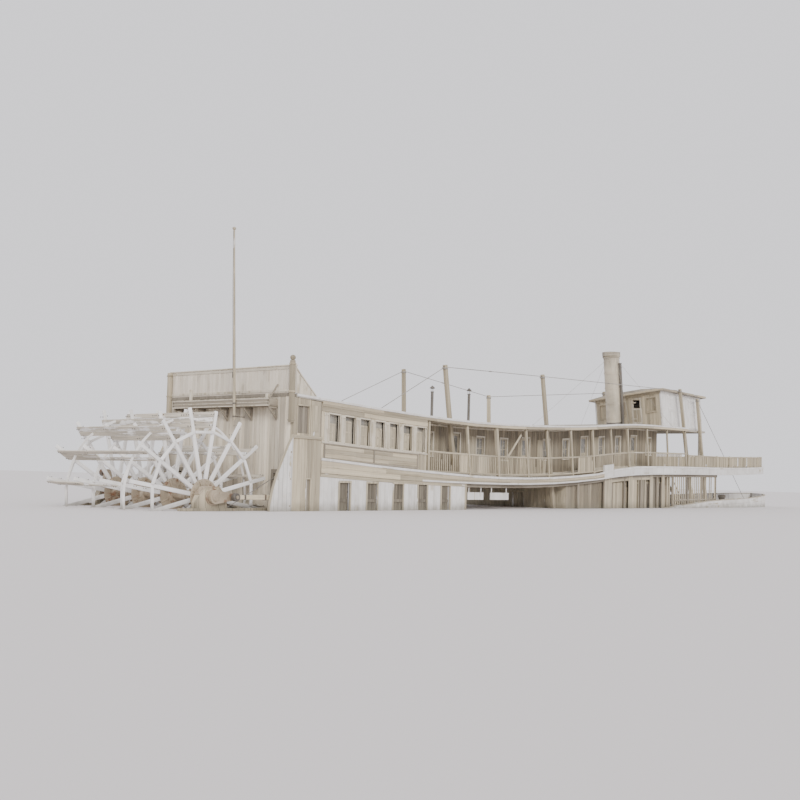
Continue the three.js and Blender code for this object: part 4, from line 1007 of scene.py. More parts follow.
def draw_wing_edge(side, name):
    """The batten that follows a splash wing's curve, and its ribs inside."""
    piece = Piece(f"wing_edge_{name}")
    y = side * (SIDE - 0.045)
    piece.bar([(s + 0.02, y, z) for s, z in WING], 0.1, 0.05, bevel=0.01)
    y = side * (SIDE - 0.11)
    for s, z in WING[1:6]:
        piece.bar([(s + 0.03, y, z - 0.06), (-0.02, y, z - 0.06)], 0.05, 0.07)
    for z in (2.2, 1.2, 0.2):
        piece.bolt(Vector((-0.08, side * (SIDE - 0.01), z)), (0, side, 0))
    piece.build(worn_white)


draw_bulkhead()
draw_screen()
draw_corner_posts()
draw_gallery()
draw_flagstaff()
for side, name in SIDES:
    draw_corner_wall(side, name)
    draw_wing_edge(side, name)


# Walls: main-deck sides, saloon, cabin and boiler room

HOUSE = Sizes(s0=1.56, s1=11.4, outer=3.54)
DOORWAYS = [(3.0 + 1.7 * i - 0.31, 3.0 + 1.7 * i + 0.31, -0.95, 1.1) for i in range(5)]
DOOR_SHARES = (0.84, 1.0, 1.0, 1.0, 0.9)  # of each doorway that its boarding still fills
SALOON = Sizes(s0=1.55, s1=8.3, outer=3.56, first=2.28, pitch=0.93, count=7, width=0.6)
SALOON_SILL, SALOON_HEAD = 0.9, 1.95
CABIN = Sizes(s0=8.3, s1=34.4, half=2.3, first=10.1, last=33.2, count=12)
CABIN_DOOR, CABIN_WINDOW = (0.36, 0.1, 1.98), (0.31, 0.85, 1.9)  # half the width, sill and head
FRONT_WINDOWS = (-1.55, 1.55)
FORE_HOUSE = Sizes(s0=21.2, s1=34.6, half=3.2, doors=(26.1, 27.8, 29.6, 31.4, 33.2), width=0.7)
OPEN_SHUTTERS = (2, 5, 8)  # cabin windows whose shutters stand open beside them
LEAF_THICK = 0.06
NAME_BOARD = Sizes(s0=1.75, s1=7.6, low=0.24, high=0.76)


def draw_leaf(piece, at, t0, t1, low, high):
    """A door leaf's low panels and its bead mouldings, on both faces."""
    middle = (t0 + t1) / 2
    for face, out in ((0.0, 1), (-LEAF_THICK, -1)):
        n0, n1 = face - out * 0.004, face + out * 0.003
        for a, b in ((t0 + 0.12, middle - 0.02), (middle + 0.02, t1 - 0.12)):
            piece.board(at, a, b, n0, n1, low + 0.12, low + 0.9)
        for z in (low + 1.02, high - 0.14):
            piece.board(at, t0 + 0.12, t1 - 0.12, n0, n1, z - 0.03, z + 0.004)


def draw_house_side(side, name):
    at = side_wall(side * HOUSE.outer)
    head = over_deck(-FASCIA - 0.001)
    piece = Piece(f"house_boards_{name}")
    piece.planks(at, HOUSE.s0, HOUSE.s1, main, head, 0.23, -0.01, 0.022, DOORWAYS)
    piece.build(white)
    trim = Piece(f"house_trim_{name}")
    for hole in DOORWAYS:
        trim.surround(at, hole, 0.08, -0.02, 0.042, sill=0.01)
    trim.board(at, HOUSE.s1 - 0.12, HOUSE.s1 + 0.02, -0.08, 0.04, main, head)
    trim.strake(at, HOUSE.s0, HOUSE.s1, 0, 0.045, over_deck(-FASCIA - 0.14), head, 0.012)
    trim.strake(at, HOUSE.s0, HOUSE.s1, 0, 0.05, main, over_main(0.16), 0.012)
    trim.build(worn_white)
    # The doorways' boarding stands near the wall's face, and its dark finish is painted shade of the rooms
    # inside
    dark = Piece(f"house_doors_{name}")
    for share, (t0, t1, low, high) in zip(DOOR_SHARES, DOORWAYS):
        split = t0 + (t1 - t0) * share
        dark.planks(at, t0 - 0.1, split + (0.1 if share == 1 else 0), low, high, 0.14, -0.07, -0.03)
        for z in (0.35, -0.6):
            dark.board(at, t0, split, -0.03, -0.005, z, z + 0.12)
    dark.build(door_boards_painted_shade)


def saloon_holes():
    first, pitch, half = SALOON.first, SALOON.pitch, SALOON.width / 2
    centres = [first + i * pitch for i in range(SALOON.count)]
    return [(s - half, s + half, over_deck(SALOON_SILL), over_deck(SALOON_HEAD)) for s in centres]


def draw_saloon(side, name):
    """Seven tall windows between pilasters, over a long blank board in its frame."""
    at = side_wall(side * SALOON.outer)
    holes = saloon_holes()
    s0, s1 = SALOON.s0, SALOON.s1
    piece = Piece(f"saloon_boards_{name}")
    piece.planks(at, s0, s1, upper, under_roof(0), 0.185, -0.01, 0.016, holes)
    piece.build(boards)
    light = Piece(f"saloon_pilasters_{name}")
    edges = [s0 + 0.02, *(s for hole in holes for s in hole[:2]), s1 - 0.02]
    for a, b in zip(edges[::2], edges[1::2]):
        middle, half = (a + b) / 2, min((b - a) / 2 - 0.075, 0.1)
        light.board(at, middle - half, middle + half, 0.005, 0.045, over_deck(0.82), under_roof(0.42))
        half += 0.03
        light.board(at, middle - half, middle + half, 0.005, 0.06, under_roof(0.5), under_roof(0.4))
    for hole in holes:
        light.surround(at, hole, 0.055, -0.02, 0.03, sill=0.03)
    light.strake(at, s0, s1, 0.005, 0.06, over_deck(0.8), over_deck(0.86), 0.012)
    light.build(cream)
    shutters = Piece(f"saloon_shutters_{name}")
    for t0, t1, low, high in holes:
        top = above(high, -shutters.random.uniform(0.12, 0.34))
        t0, t1 = t0 - 0.03, t1 - shutters.random.uniform(0.05, 0.16)
        shutters.sash(at, (t0, t1, low, top), -0.1, 0.07, bar=0.06)
        shutters.board(at, t0 + 0.05, t1 - 0.05, -0.11, -0.095, above(low, 0.05), above(top, -0.05))
    shutters.build(worn_cream)
    panes = Piece(f"saloon_glass_{name}")
    for hole in holes:
        panes.pane(at, hole, -0.16, -0.02, 0.01)
    panes.build(glass)


def draw_name_board(side, name):
    """A blank board in its frame."""
    at = side_wall(side * SALOON.outer)
    s0, s1, low, high = NAME_BOARD.s0, NAME_BOARD.s1, NAME_BOARD.low, NAME_BOARD.high
    frame_piece = Piece(f"long_board_frame_{name}")
    for a, b in ((low - 0.07, low), (high, high + 0.07)):
        frame_piece.strake(at, s0 - 0.07, s1 + 0.07, 0, 0.055, over_deck(a), over_deck(b), 0.01)
    for t in (s0 - 0.07, (s0 + s1) / 2, s1):
        frame_piece.board(at, t, t + 0.07, 0, 0.055, over_deck(low), over_deck(high))
    frame_piece.build(dark_boards)
    board = Piece(f"long_board_{name}")
    board.strakes(at, s0, s1, over_deck(low + 0.01), over_deck(high - 0.01), 0.17, 0, 0.03, longest=2.6)
    board.build(boards, "cream_paint")


def is_cabin_door(i):
    return i % 3 == 1


def cabin_holes():
    """Windows, and a door in every third place."""
    holes = []
    for i in range(CABIN.count):
        s = CABIN.first + (CABIN.last - CABIN.first) * i / (CABIN.count - 1)
        half, low, high = CABIN_DOOR if is_cabin_door(i) else CABIN_WINDOW
        holes.append((s - half, s + half, over_deck(low), over_deck(high)))
    return holes


def draw_cabin(side, name):
    at = side_wall(side * CABIN.half)
    holes = cabin_holes()
    # These boards' dark finish holds painted shade of the roof over the promenade
    piece = Piece(f"cabin_boards_{name}")
    piece.planks(at, CABIN.s0, CABIN.s1, upper, under_roof(0), 0.2, -0.01, 0.018, holes)
    piece.build(shade_darkened_wood)
    trim = Piece(f"cabin_trim_{name}")
    for hole in holes:
        trim.surround(at, hole, 0.075, -0.02, 0.04, sill=0.03)
    trim.strake(at, CABIN.s0, CABIN.s1, 0, 0.045, upper, over_deck(0.16), 0.012)
    trim.strake(at, CABIN.s0, CABIN.s1, 0, 0.045, under_roof(0.14), under_roof(0), 0.012)
    trim.build(cream)
    fill = Piece(f"cabin_sashes_{name}")
    panes = Piece(f"cabin_glass_{name}")
    for i, hole in enumerate(holes):
        t0, t1, low, high = hole
        if is_cabin_door(i):
            panel = over_deck(1.05)
            fill.sash(at, hole, -0.05, 0.1, bar=0.12)
            fill.board(at, t0 + 0.08, t1 - 0.08, -0.06, -0.045, above(low, 0.1), panel)
            panes.board(at, t0 + 0.05, t1 - 0.05, -0.06, -0.054, panel, above(high, -0.05), 0.002)
        else:
            fill.sash(at, hole, -0.05, 0.05, columns=2)
            panes.pane(at, hole)
            if i in OPEN_SHUTTERS:
                fill.planks(at, t0 - 0.62, t0 - 0.1, above(low, -0.02), above(high, 0.02), 0.13, 0.02, 0.045)
    fill.build(worn_cream)
    panes.build(room_shade_glass)


def draw_cabin_front():
    piece = Piece("cabin_front_boards")
    at = cross_wall(CABIN.s1 + 0.1, 1)
    floor = upper(CABIN.s1)
    door = (-0.738, 0.738, floor + 0.08, floor + 2.07)
    windows = [(y - 0.33, y + 0.33, floor + 0.85, floor + 1.9) for y in FRONT_WINDOWS]
    high = roof(CABIN.s1) - DECK - 0.002
    piece.planks(at, -CABIN.half, CABIN.half, floor, high, 0.2, -0.01, 0.012, [door, *windows])
    piece.build(boards)
    trim = Piece("cabin_front_trim")
    panes = Piece("cabin_front_glass")
    for hole in windows:
        trim.surround(at, hole, 0.07, -0.02, 0.03, sill=0.03)
        trim.sash(at, hole, -0.05, 0.05, columns=2)
        panes.pane(at, hole)
    trim.build(cream)
    panes.build(glass)
    for side, name in SIDES:
        leaf = Piece(f"cabin_door_{name}_panels")
        draw_leaf(leaf, at, *sorted((side * 0.006, side * 0.726)), floor + 0.1, floor + 2.05)
        leaf.build(worn_cream, body=f"cabin_door_{name}_leaf")


def draw_saloon_return(side, name):
    """The saloon's fore wall beside the cabin, with its doorway's frame."""
    piece = Piece(f"saloon_return_{name}")
    at = cross_wall(SALOON.s1, 1)
    floor = upper(SALOON.s1)
    a, b = sorted((side * 3.24, side * 2.5))
    door = (a, b, floor + 0.12, floor + 2.05)
    t0, t1 = sorted((side * SALOON.outer, side * 2.33))
    piece.planks(at, t0, t1, floor, roof(SALOON.s1) - DECK - 0.002, 0.18, -0.01, 0.016, [door])
    piece.planks(at, a - 0.03, b + 0.03, door[2], door[3], 0.15, -0.07, -0.04)
    piece.surround(at, door, 0.06, -0.02, 0.035)
    piece.build(worn_cream)


def fore_house_doors():
    half = FORE_HOUSE.width / 2
    return [(s - half, s + half, over_main(0.15), over_main(2.15)) for s in FORE_HOUSE.doors]


def draw_fore_house(side, name):
    at = side_wall(side * FORE_HOUSE.half)
    doors = fore_house_doors()
    s0, s1 = FORE_HOUSE.s0, FORE_HOUSE.s1
    top = over_deck(-DECK - 0.002)
    # These boards' dark finish holds painted shade of the deck over them
    piece = Piece(f"boiler_room_boards_{name}")
    piece.planks(at, s0, s1, main, top, 0.24, -0.01, 0.02, doors)
    piece.build(shade_darkened_wood)
    trim = Piece(f"boiler_room_trim_{name}")
    for hole in doors:
        trim.surround(at, hole, 0.08, -0.02, 0.04)
        middle = (hole[0] + hole[1]) / 2
        for start in (hole[1] + 0.14, hole[1] + 0.52):
            if start + 0.3 < s1 and start < middle + 1.4:
                trim.board(at, start, start + 0.3, 0.01, 0.035, over_main(0.35), over_main(2.0))
    trim.build(worn_cream)
    closed = Piece(f"boiler_room_doors_{name}")
    for t0, t1, low, high in doors:
        closed.planks(at, t0 - 0.03, t1 + 0.03, low, high, 0.17, -0.1, -0.06)
    closed.build(dark_boards)


def draw_fore_house_ends():
    """Light boards aft, facing the open bay, and bare ones forward."""
    half = FORE_HOUSE.half
    ends = (("aft", FORE_HOUSE.s0, -1, worn_white), ("fore", FORE_HOUSE.s1, 1, boards))
    for label, face, out, finish in ends:
        piece = Piece(f"boiler_room_end_{label}")
        at = cross_wall(face, out)
        floor = main(face)
        door = (-0.6, 0.6, floor + 0.12, floor + 2.1)
        piece.planks(at, -half, half, floor, upper(face) - DECK - 0.03, 0.24, -0.01, 0.02, [door])
        piece.surround(at, door, 0.08, -0.02, 0.04)
        if out < 0:
            piece.planks(at, -0.62, 0.62, door[2], door[3], 0.2, -0.08, -0.04)
        piece.build(finish, "weathered_boards")


for side, name in SIDES:
    draw_house_side(side, name)
    draw_saloon(side, name)
    draw_name_board(side, name)
    draw_cabin(side, name)
    draw_saloon_return(side, name)
    draw_fore_house(side, name)
draw_cabin_front()
draw_fore_house_ends()


# Deck edges, beams, stanchions, rails and the roof's edge

TOE = (
    # S, rise of the edge over the deck
    (0, 0.24), (2.4, 0.21), (4.8, 0.17), (7.2, 0.14), (9.6, 0.09), (12, 0.03), (14.4, 0.0),
    (24, 0.0), (26.4, 0.1), (28.8, 0.15), (57.6, 0.16),
)
BAY_FROM, WHITE_FROM = 8.0, 26.0  # S from which the edge has its hem, and its white band
EDGE_BLOCK = (24.85, 25.95)
BEAM_PITCH, KNEES = 1.2, 46
BALUSTER_PITCH = 0.15
PROMENADE = Sizes(y=3.46, half=0.055, first=8.55, lean=0.35, low=0.12, high=0.98)
POSTS_UPPER = (11.8, 14.25, 16.95, 19, 21.5, 23.9, 26.1, 28.2, 30.8, 33.7, 36.5)
POSTS_MAIN = (11.6, 22.3, 25.3, 27.8, 30, 32.3, 34.6, 36.9, 39.3, 41.7)
MAIN_POST = Sizes(y=3.36, half=0.055)
LIGHT_BOARDING = ((25.3, 26.15), (28.3, 28.8), (31.2, 31.6), (32.9, 33.3))  # stretches of S
LIGHT_SLATS = (29.7, 30.0, 30.3, 30.6)
PICKETS = Sizes(first=33.45, last=41.6, pitch=0.31)
HUNG_BOARDS = ((11.8, 13.1), (13.7, 15.3))  # blank boards in the open bay
SHADED = ((26.15, 26.6), (29.95, 30.8), (31.75, 32.75))
FORE_RAIL = Sizes(start=36.7, inset=0.11, posts=(36.8, 39.2, 41.6, 44, 46.4, 48.8, 51.2, 53.4, 55.2))
BULWARK = Sizes(start=27.0, height=0.96, inset=0.06, slope=22.0, least=0.35, ribs=24,
                seams=(0.0, 0.34, 0.67, 1.0))
ROOF_FORE = 36.4
STACK_GAP = (32.4, 34.2)  # S where no beam crosses
STAIR_GAP = (39, 43.2)  # S where the beams stop beside the stairwell


def toe(t):
    """How far the edge's light moulding rises over the deck."""
    for (s0, z0), (s1, z1) in zip(TOE, TOE[1:]):
        if s0 <= t <= s1:
            return z0 + (z1 - z0) * (t - s0) / (s1 - s0)
    return 0.0


def over_toe(rise):
    return lambda t: upper(t) + toe(t) + rise


def draw_deck_edge(side, name):
    edge = Edge(side, CORNER.s1, UPPER_TIP)
    start, fore, hem = CORNER.s1 + 0.01, UPPER_TIP - 0.01, over_deck(-FASCIA + 0.08)
    light = Piece(f"deck_nosing_{name}")
    light.strake(edge, start, fore, -0.06, 0.036, over_toe(-0.1), over_toe(0.0), 0.014)
    light.strake(edge, BAY_FROM, fore, -0.01, 0.032, over_deck(-FASCIA), hem, 0.012)
    light.build(white)
    tan = Piece(f"deck_edge_boards_{name}")
    for row in (0, 1):
        low = between(over_deck(-FASCIA), over_toe(-0.105), row / 2, 0.005)
        high = between(over_deck(-FASCIA), over_toe(-0.105), (row + 1) / 2)
        for a, b in tan.lengths(start, WHITE_FROM, 3.2, 5.2):
            tan.strake(edge, a, b - 0.006, -0.02, 0.014, low, high, 0.006)
    tan.build(boards)
    band = Piece(f"deck_edge_band_{name}")
    for a, b in band.lengths(WHITE_FROM, fore, 3.5, 5.5, 1.5):
        band.strake(edge, a, b - 0.006, -0.02, 0.018, hem, over_toe(-0.1))
    band.board(side_wall(side * SIDE), *EDGE_BLOCK, -0.09, 0.03, over_deck(-FASCIA), over_deck(0.4), 0.02)
    band.build(white)


def draw_main_guard(side, name):
    """Guard timbers along the main deck's edge, and the knees under it."""
    edge = Edge(side, 0.02, BOW)
    piece = Piece(f"guard_timbers_{name}")
    for a, b in piece.lengths(0.03, BOW - 0.09, 5, 7, 3):
        piece.strake(edge, a, b - 0.008, -0.02, 0.03, over_main(-0.2), main, 0.02)
    for i in range(1, KNEES + 1):
        s = i * BEAM_PITCH
        half, under = half_breadth(s, BOW), main(s) - DECK
        knee = [(s, side * (half - 0.02), under - 0.1), (s, side * (half - 0.34), under - 0.42)]
        piece.bar(knee, 0.12, 0.09, ALONG)
    piece.build(dark_boards)


def draw_beams():
    """Deck beams under the upper deck, and rafters under the roof whose tails show at its edge."""
    piece = Piece("deck_beams")
    for i in range(9, 46):
        s = BEAM_PITCH * i + 0.3
        half = min(3.45, half_breadth(s, UPPER_TIP) - 0.12)
        z = upper(s) - DECK - 0.07
        if STACK_GAP[0] < s < STACK_GAP[1] or half < 0.5:
            continue
        spans = ((-half, -0.62), (0.62, half)) if STAIR_GAP[0] < s < STAIR_GAP[1] else ((-half, half),)
        for a, b in spans:
            piece.bar([(s, a, z), (s, b, z)], 0.1, 0.14, ALONG, 0.01)
    piece.build(cream, "deck_planks")
    rafters = Piece("roof_rafters")
    for i in range(13, 60):
        s = BEAM_PITCH / 2 * i + 0.2
        z = roof(s) - DECK - 0.05
        for side, _ in SIDES:
            rafters.bar([(s, side * 2.26, z), (s, side * 3.52, z)], 0.06, 0.09, ALONG, 0.008)
    rafters.build(cream, "roof_canvas")


def leaning(foot, z):
    share = (z - upper(foot)) / (roof(foot) - upper(foot))
    return foot - PROMENADE.lean * share


def draw_promenade(side, name):
    """Leaning posts, rails, and balusters of which some are gone."""
    y, half = side * PROMENADE.y, PROMENADE.half
    piece = Piece(f"promenade_posts_{name}")
    first, last = PROMENADE.first, POSTS_UPPER[-1]
    piece.post(first, y, upper(first), roof(first) - DECK, 0.12, 0.11)
    for foot in POSTS_UPPER:
        top = roof(foot) - DECK - 0.005
        wide = 2 * half + piece.random.choice((-0.01, 0, 0.01, 0.05))
        piece.bar([(foot, y, upper(foot)), (leaning(foot, top), y, top)], wide, wide, ALONG, 0.014)
    at = side_wall(y)
    for height, deep in ((PROMENADE.low, 0.07), (PROMENADE.high, 0.08)):
        low, high = over_deck(height - deep / 2), over_deck(height + deep / 2)
        piece.strake(at, first, last, -0.035, 0.035, low, high, 0.012)
    piece.build(worn_cream, replaces=[f"promenade_rail_{name}"])
    low, high = over_deck(PROMENADE.low + 0.03), over_deck(PROMENADE.high - 0.03)
    fill = Piece(f"promenade_balusters_{name}")
    light = Piece(f"promenade_boards_{name}")
    kinds = {
        # name: piece, half its width, how far out its face is
        "slats": (fill, 0.022, -0.015, 0.015),
        "boards": (fill, 0.06, -0.014, 0.014),
        "white": (light, 0.065, -0.014, 0.016),
    }
    s, run_left, kind = first + 0.12, 0, "open"
    while s < last - 0.1:
        if run_left <= 0:
            kind = fill.random.choice(("slats", "slats", "slats", "boards", "white", "open"))
            run_left = fill.random.uniform(0.9, 2.4)
        if all(abs(s - foot) > 0.1 for foot in POSTS_UPPER):
            top = above(low, fill.random.uniform(0.25, 0.6)) if fill.random.random() < 0.08 else high
            if kind in kinds:
                drawn, wide, back, face = kinds[kind]
                drawn.board(at, s - wide, s + wide, back, face, low, top)
        s += BALUSTER_PITCH
        run_left -= BALUSTER_PITCH
    fill.build(boards, "cream_paint")
    light.bar([(15.0, y, upper(15) + 0.95), (16.2, y, upper(16.2) + 2.1)], 0.05, 0.1, bevel=0.01)
    light.build(worn_white, "cream_paint")


def draw_main_posts(side, name):
    """Posts of the main deck with their plate, dark and bare aft, and the boarded stretch forward."""
    y = side * MAIN_POST.y
    at = side_wall(y)
    under = over_deck(-FASCIA - 0.02)
    piece = Piece(f"main_posts_{name}")
    piece.strake(at, 11.43, 41.9, -0.05, 0.05, over_deck(-FASCIA - 0.16), over_deck(-FASCIA + 0.02), 0.012)
    for s in POSTS_MAIN:
        piece.post(s, y, main(s), upper(s) - FASCIA, 2 * MAIN_POST.half, 2 * MAIN_POST.half)
    piece.strake(at, 34.6, 41.7, -0.04, 0.04, over_main(1.01), over_main(1.09), 0.012)
    for a, b in SHADED:
        piece.planks(at, a, b, main, under, 0.3, -0.13, -0.10)
    piece.build(dark_boards, replaces=[f"main_stanchions_{name}"])
    light = Piece(f"main_boarding_{name}")
    for a, b in LIGHT_BOARDING:
        light.planks(at, a, b, main, under, 0.4, 0.02, 0.06)
    light.strake(at, 26.15, 31.4, 0.0, 0.04, over_deck(-FASCIA - 0.3), over_deck(-FASCIA - 0.14), 0.012)
    for s in LIGHT_SLATS:
        light.board(at, s - 0.03, s + 0.03, -0.01, 0.03, main, under)
    light.build(worn_white, "weathered_boards")
    hung = Piece(f"hung_boards_{name}")
    for a, b in HUNG_BOARDS:
        hung.board(at, a, b, -0.02, 0.02, 0.46, 0.8, 0.012)
        for s in (a + 0.12, b - 0.18):
            hung.board(at, s, s + 0.06, -0.045, -0.02, 0.5, over_deck(-FASCIA - 0.1))
    hung.build(white, "weathered_boards")
    pickets = Piece(f"main_pickets_{name}")
    pickets.planks(at, 28.8, 29.4, main, under, 0.2, 0.0, 0.035)
    pickets.planks(at, 26.6, 28.0, main, over_deck(-FASCIA - 0.35), 0.24, -0.12, -0.08)
    s = PICKETS.first
    while s < PICKETS.last:
        if pickets.random.random() > 0.12 and all(abs(s + 0.065 - post) > 0.12 for post in POSTS_MAIN):
            pickets.board(at, s, s + 0.13, -0.012, 0.014, over_main(0.02), under)
        s += PICKETS.pitch
    pickets.build(boards)


def draw_fore_rail(side, name):
    """Boards between two rails round the open fore deck."""
    start, inset = FORE_RAIL.start, FORE_RAIL.inset
    edge = Edge(side, start, UPPER_TIP, inset)
    last = UPPER_TIP - inset - 0.005
    rails = Piece(f"fore_rail_{name}")
    rails.strake(edge, start, last, -0.075, 0.012, over_deck(0.85), over_deck(0.925), 0.018)
    rails.strake(edge, start, last, -0.06, 0.0, over_deck(0.085), over_deck(0.155), 0.012)
    for s in FORE_RAIL.posts:
        rails.bar([edge(s, -0.03, upper(s)), edge(s, -0.03, upper(s) + 0.95)], 0.1, 0.1)
    rails.build(worn_cream, replaces=["fore_rail"] if side < 0 else ())
    fill = Piece(f"fore_rail_boards_{name}")
    s = start + 0.06
    while s < last - 0.12:
        wide = fill.random.uniform(0.15, 0.2)
        if fill.random.random() > 0.06:
            low = over_deck(0.14 if fill.random.random() > 0.1 else 0.3)
            fill.board(edge, s, min(s + wide, last), -0.048, -0.018, low, over_deck(0.86))
        s += wide + 0.012
    fill.build(rail_boards)


def bulwark_top(t):
    """Height of the bulwark's top, straight between the stations."""
    def rise(s):
        return BULWARK.height * min(BULWARK.least + (s - BULWARK.start) / BULWARK.slope, 1)

    i = math.floor(t / STEP)
    a, b = max(i * STEP, BULWARK.start), min((i + 1) * STEP, BOW)
    share = (t - a) / (b - a)
    return main(t) + rise(a) * (1 - share) + rise(b) * share


def draw_bulwark(side, name):
    start, inset = BULWARK.start, BULWARK.inset
    edge = Edge(side, start, BOW, inset)
    last = BOW - inset - 0.005
    piece = Piece(f"bulwark_planks_{name}")
    for a, b in zip(BULWARK.seams, BULWARK.seams[1:]):
        low, high = between(main, bulwark_top, a, 0.004), between(main, bulwark_top, b, -0.004)
        for s, end in piece.lengths(start + 0.02, last, 4, 6, 2):
            piece.strake(edge, s, end - 0.006, -0.02, 0.022, low, high, 0.012)
    piece.build(white)
    cap = Piece(f"bulwark_cap_{name}")
    cap.strake(edge, start, last, -0.11, 0.035, bulwark_top, above(bulwark_top, 0.05), 0.015)
    for i in range(BULWARK.ribs):
        s = start + (i + 0.5) * BEAM_PITCH
        cap.bar([edge(s, -0.12, main(s)), edge(s, -0.12, bulwark_top(s))], 0.1, 0.1)
    cap.build(worn_white)


def draw_roof_edge(side, name):
    at = side_wall(side * SIDE)
    piece = Piece(f"roof_moulding_{name}")
    piece.strake(at, 0.12, ROOF_FORE, -0.04, 0.034, above(roof, -0.075), above(roof, 0.02), 0.014)
    piece.build(white)
    frieze = Piece(f"roof_frieze_{name}")
    wall = side_wall(side * SALOON.outer)
    frieze.strakes(wall, SALOON.s0, SALOON.s1, under_roof(0.36), under_roof(-0.02), 0.18, 0.01, 0.035, 3.0)
    frieze.strakes(at, CORNER.s1, ROOF_FORE, under_roof(0.08), under_roof(-0.05), 0.13, -0.06, 0.01, 4.5)
    frieze.build(boards)


for side, name in SIDES:
    draw_deck_edge(side, name)
    draw_main_guard(side, name)
    draw_promenade(side, name)
    draw_main_posts(side, name)
    draw_fore_rail(side, name)
    draw_bulwark(side, name)
    draw_roof_edge(side, name)
draw_beams()


# Above the roof: seams, pipes, hog trusses, pilothouse, stack

HOUSE_TOP = 7.2
PILOT = Sizes(s0=35.27, s1=41.7, half=2.33, foot=5.12, eave=0.32, crown=7.46)
RACK = Sizes(aft=0.2, port=0.12)  # to a metre of height, and of Y
PILOT_DOOR = Sizes(jamb=-0.25, width=0.72, low=roof(35.27) + 0.27, height=1.7)
PILOT_SIDE_WINDOWS = [(s - 0.45, s + 0.45, 6.05, 6.9) for s in (36.75, 38.5, 40.25)]
PILOT_AFT_WINDOWS = [(y - 0.34, y + 0.34, 5.95, 6.85) for y in (-1.65, 0.55, 1.65)]
PILOT_FRONT_WINDOWS = [(y - 0.6, y + 0.6, 6.0, 6.9) for y in (-1.5, 0, 1.5)]
STACK = Sizes(s=33.74, foot=1.55, lean=0.155, radius=0.5, top=9.8)
ESCAPE = Sizes(s=33.65, y=-0.63, top=9.1, bands=(6.4, 7.6, 8.8))
HOG = Sizes(y=2.75, half=0.11, rod=0.016)
HOG_POSTS = {
    # S of the top, height of the top, lean aft to a metre of height
    "starboard": ((10.62, 6.6, 0.19), (19.32, 7.0, 0.2), (36.9, 7.75, 0.3), (39.8, 7.35, 0.25)),
    "port": ((14.56, 7.05, 0.05), (22.6, 6.35, 0.05), (36.9, 7.75, 0.3), (39.8, 7.35, 0.25)),
}
HOG_AFT = (-2.4, 0.12)
HOG_FORE = (50.0, main(50) + 0.02)
STACK_AXIS = (-STACK.lean, 0, 1)
STACK_JOINTS = [5.6 + i * 0.95 for i in range(5)]  # heights
GUYS = Sizes(feet=(28.5, 34.6), y=3.3, head=9.35)
STOVE_PIPES = ((13.4, 6.0), (16.6, 6.15))


def draw_hog_truss(side, name):
    """Leaning posts with worn caps, and the rods over them from the wheel timbers to the bow."""
    y, half, wide = side * HOG.y, HOG.half, 2 * HOG.half
    piece = Piece(f"hog_posts_{name}")
    irons = Piece(f"hog_rods_{name}")
    route = [HOG_AFT]
    for s, top, lean in HOG_POSTS[name]:
        foot = s + lean * (top - main(s))
        piece.bar([(foot, y, main(foot) - 0.03), (s, y, top)], wide, wide, bevel=0.03, taper=0.84)
        piece.bar([(s - 0.11, y, top - 0.06), (s + 0.11, y, top - 0.06)], 0.12, 0.06)
        irons.post(s, y, top - 0.2, top - 0.13, wide, wide)
        for out in (-1, 1):
            irons.bolt(Vector((s, y + out * half * 0.95, top - 0.165)), (0, out, 0), 0.024, 0.022)
        route.append((s, top - 0.1))
    route.append(HOG_FORE)
    for (s0, z0), (s1, z1) in zip(route, route[1:]):
        a, b = Vector((s0, y, z0)), Vector((s1, y, z1))
        irons.tube([a, b], HOG.rod)
        irons.turn(a.lerp(b, 0.42), b - a, hoop(0.016, 0.03, 0.22, 0.02), 8)
    piece.build(rail_boards, "cream_paint", replaces=[f"hog_truss_{name}"])
    irons.build(rod_iron)


def draw_roof_details():
    """Battens over the canvas seams, flashing round what passes through, and stove pipes."""
    piece = Piece("roof_battens")
    for i in range(1, 15):
        s = i * STEP
        piece.bar([(s, -3.5, roof(s) + 0.012), (s, 3.5, roof(s) + 0.012)], 0.05, 0.03, ALONG, 0.006)
    for side, name in SIDES:
        for s, top, lean in HOG_POSTS[name][:2]:
            middle = s + lean * (top - roof(s))
            corners = ((-0.2, -0.17), (0.2, -0.17), (0.2, 0.17), (-0.2, 0.17))
            collar = [(middle + a, side * (HOG.y + b)) for a, b in corners]
            for (s0, y0), (s1, y1) in zip(collar, collar[1:] + collar[:1]):
                piece.bar([(s0, y0, roof(s0) + 0.03), (s1, y1, roof(s1) + 0.03)], 0.05, 0.07, UP, 0.008)
    piece.build(roof_cloth)
    pipes = Piece("stove_pipes")
    for s, top in STOVE_PIPES:
        foot = roof(s)
        parts = (
            (foot, ((0.1, -0.02), (0.1, 0.05), (0.07, 0.06), (0.07, top - foot - 0.3))),
            (top - 0.36, hoop(0.071, 0.085, 0.06, 0.01)),
            (top - 0.17, ((0.05, 0), (0.13, 0.02), (0.13, 0.05), (0.02, 0.16))),
        )
        for z, profile in parts:
            pipes.turn((s, 0, z), UP, profile, 14)
        for turn in (0, 120, 240):
            a, b = (0.06 * part for part in turned(turn))
            pipes.tube([(s + a, b, top - 0.33), (s + a, b, top - 0.14)], 0.01, 5)
    pipes.build(dark_iron)


def racked(p, port=RACK.port):
    """Where the racking has taken a point that is drawn upright."""
    z = p.z - port * p.y
    return Vector((p.x - RACK.aft * (z - PILOT.foot), p.y, z))


def rehung(p):
    """The same, for the door and its opening, which are level again."""
    return racked(p, 0.0)


def pilot_foot(y):
    """The drawn height that the racking takes to the roof's surface, along a side."""
    return above(roof, RACK.port * y + 0.004)


def pilot_foot_across(s):
    """The same, across the vessel at one S."""
    return lambda y: pilot_foot(y)(s)


def level_with_door(rise):
    """A line that the racking leaves level, over the foot of the door's opening."""
    return lambda y: PILOT_DOOR.low + rise + RACK.port * y


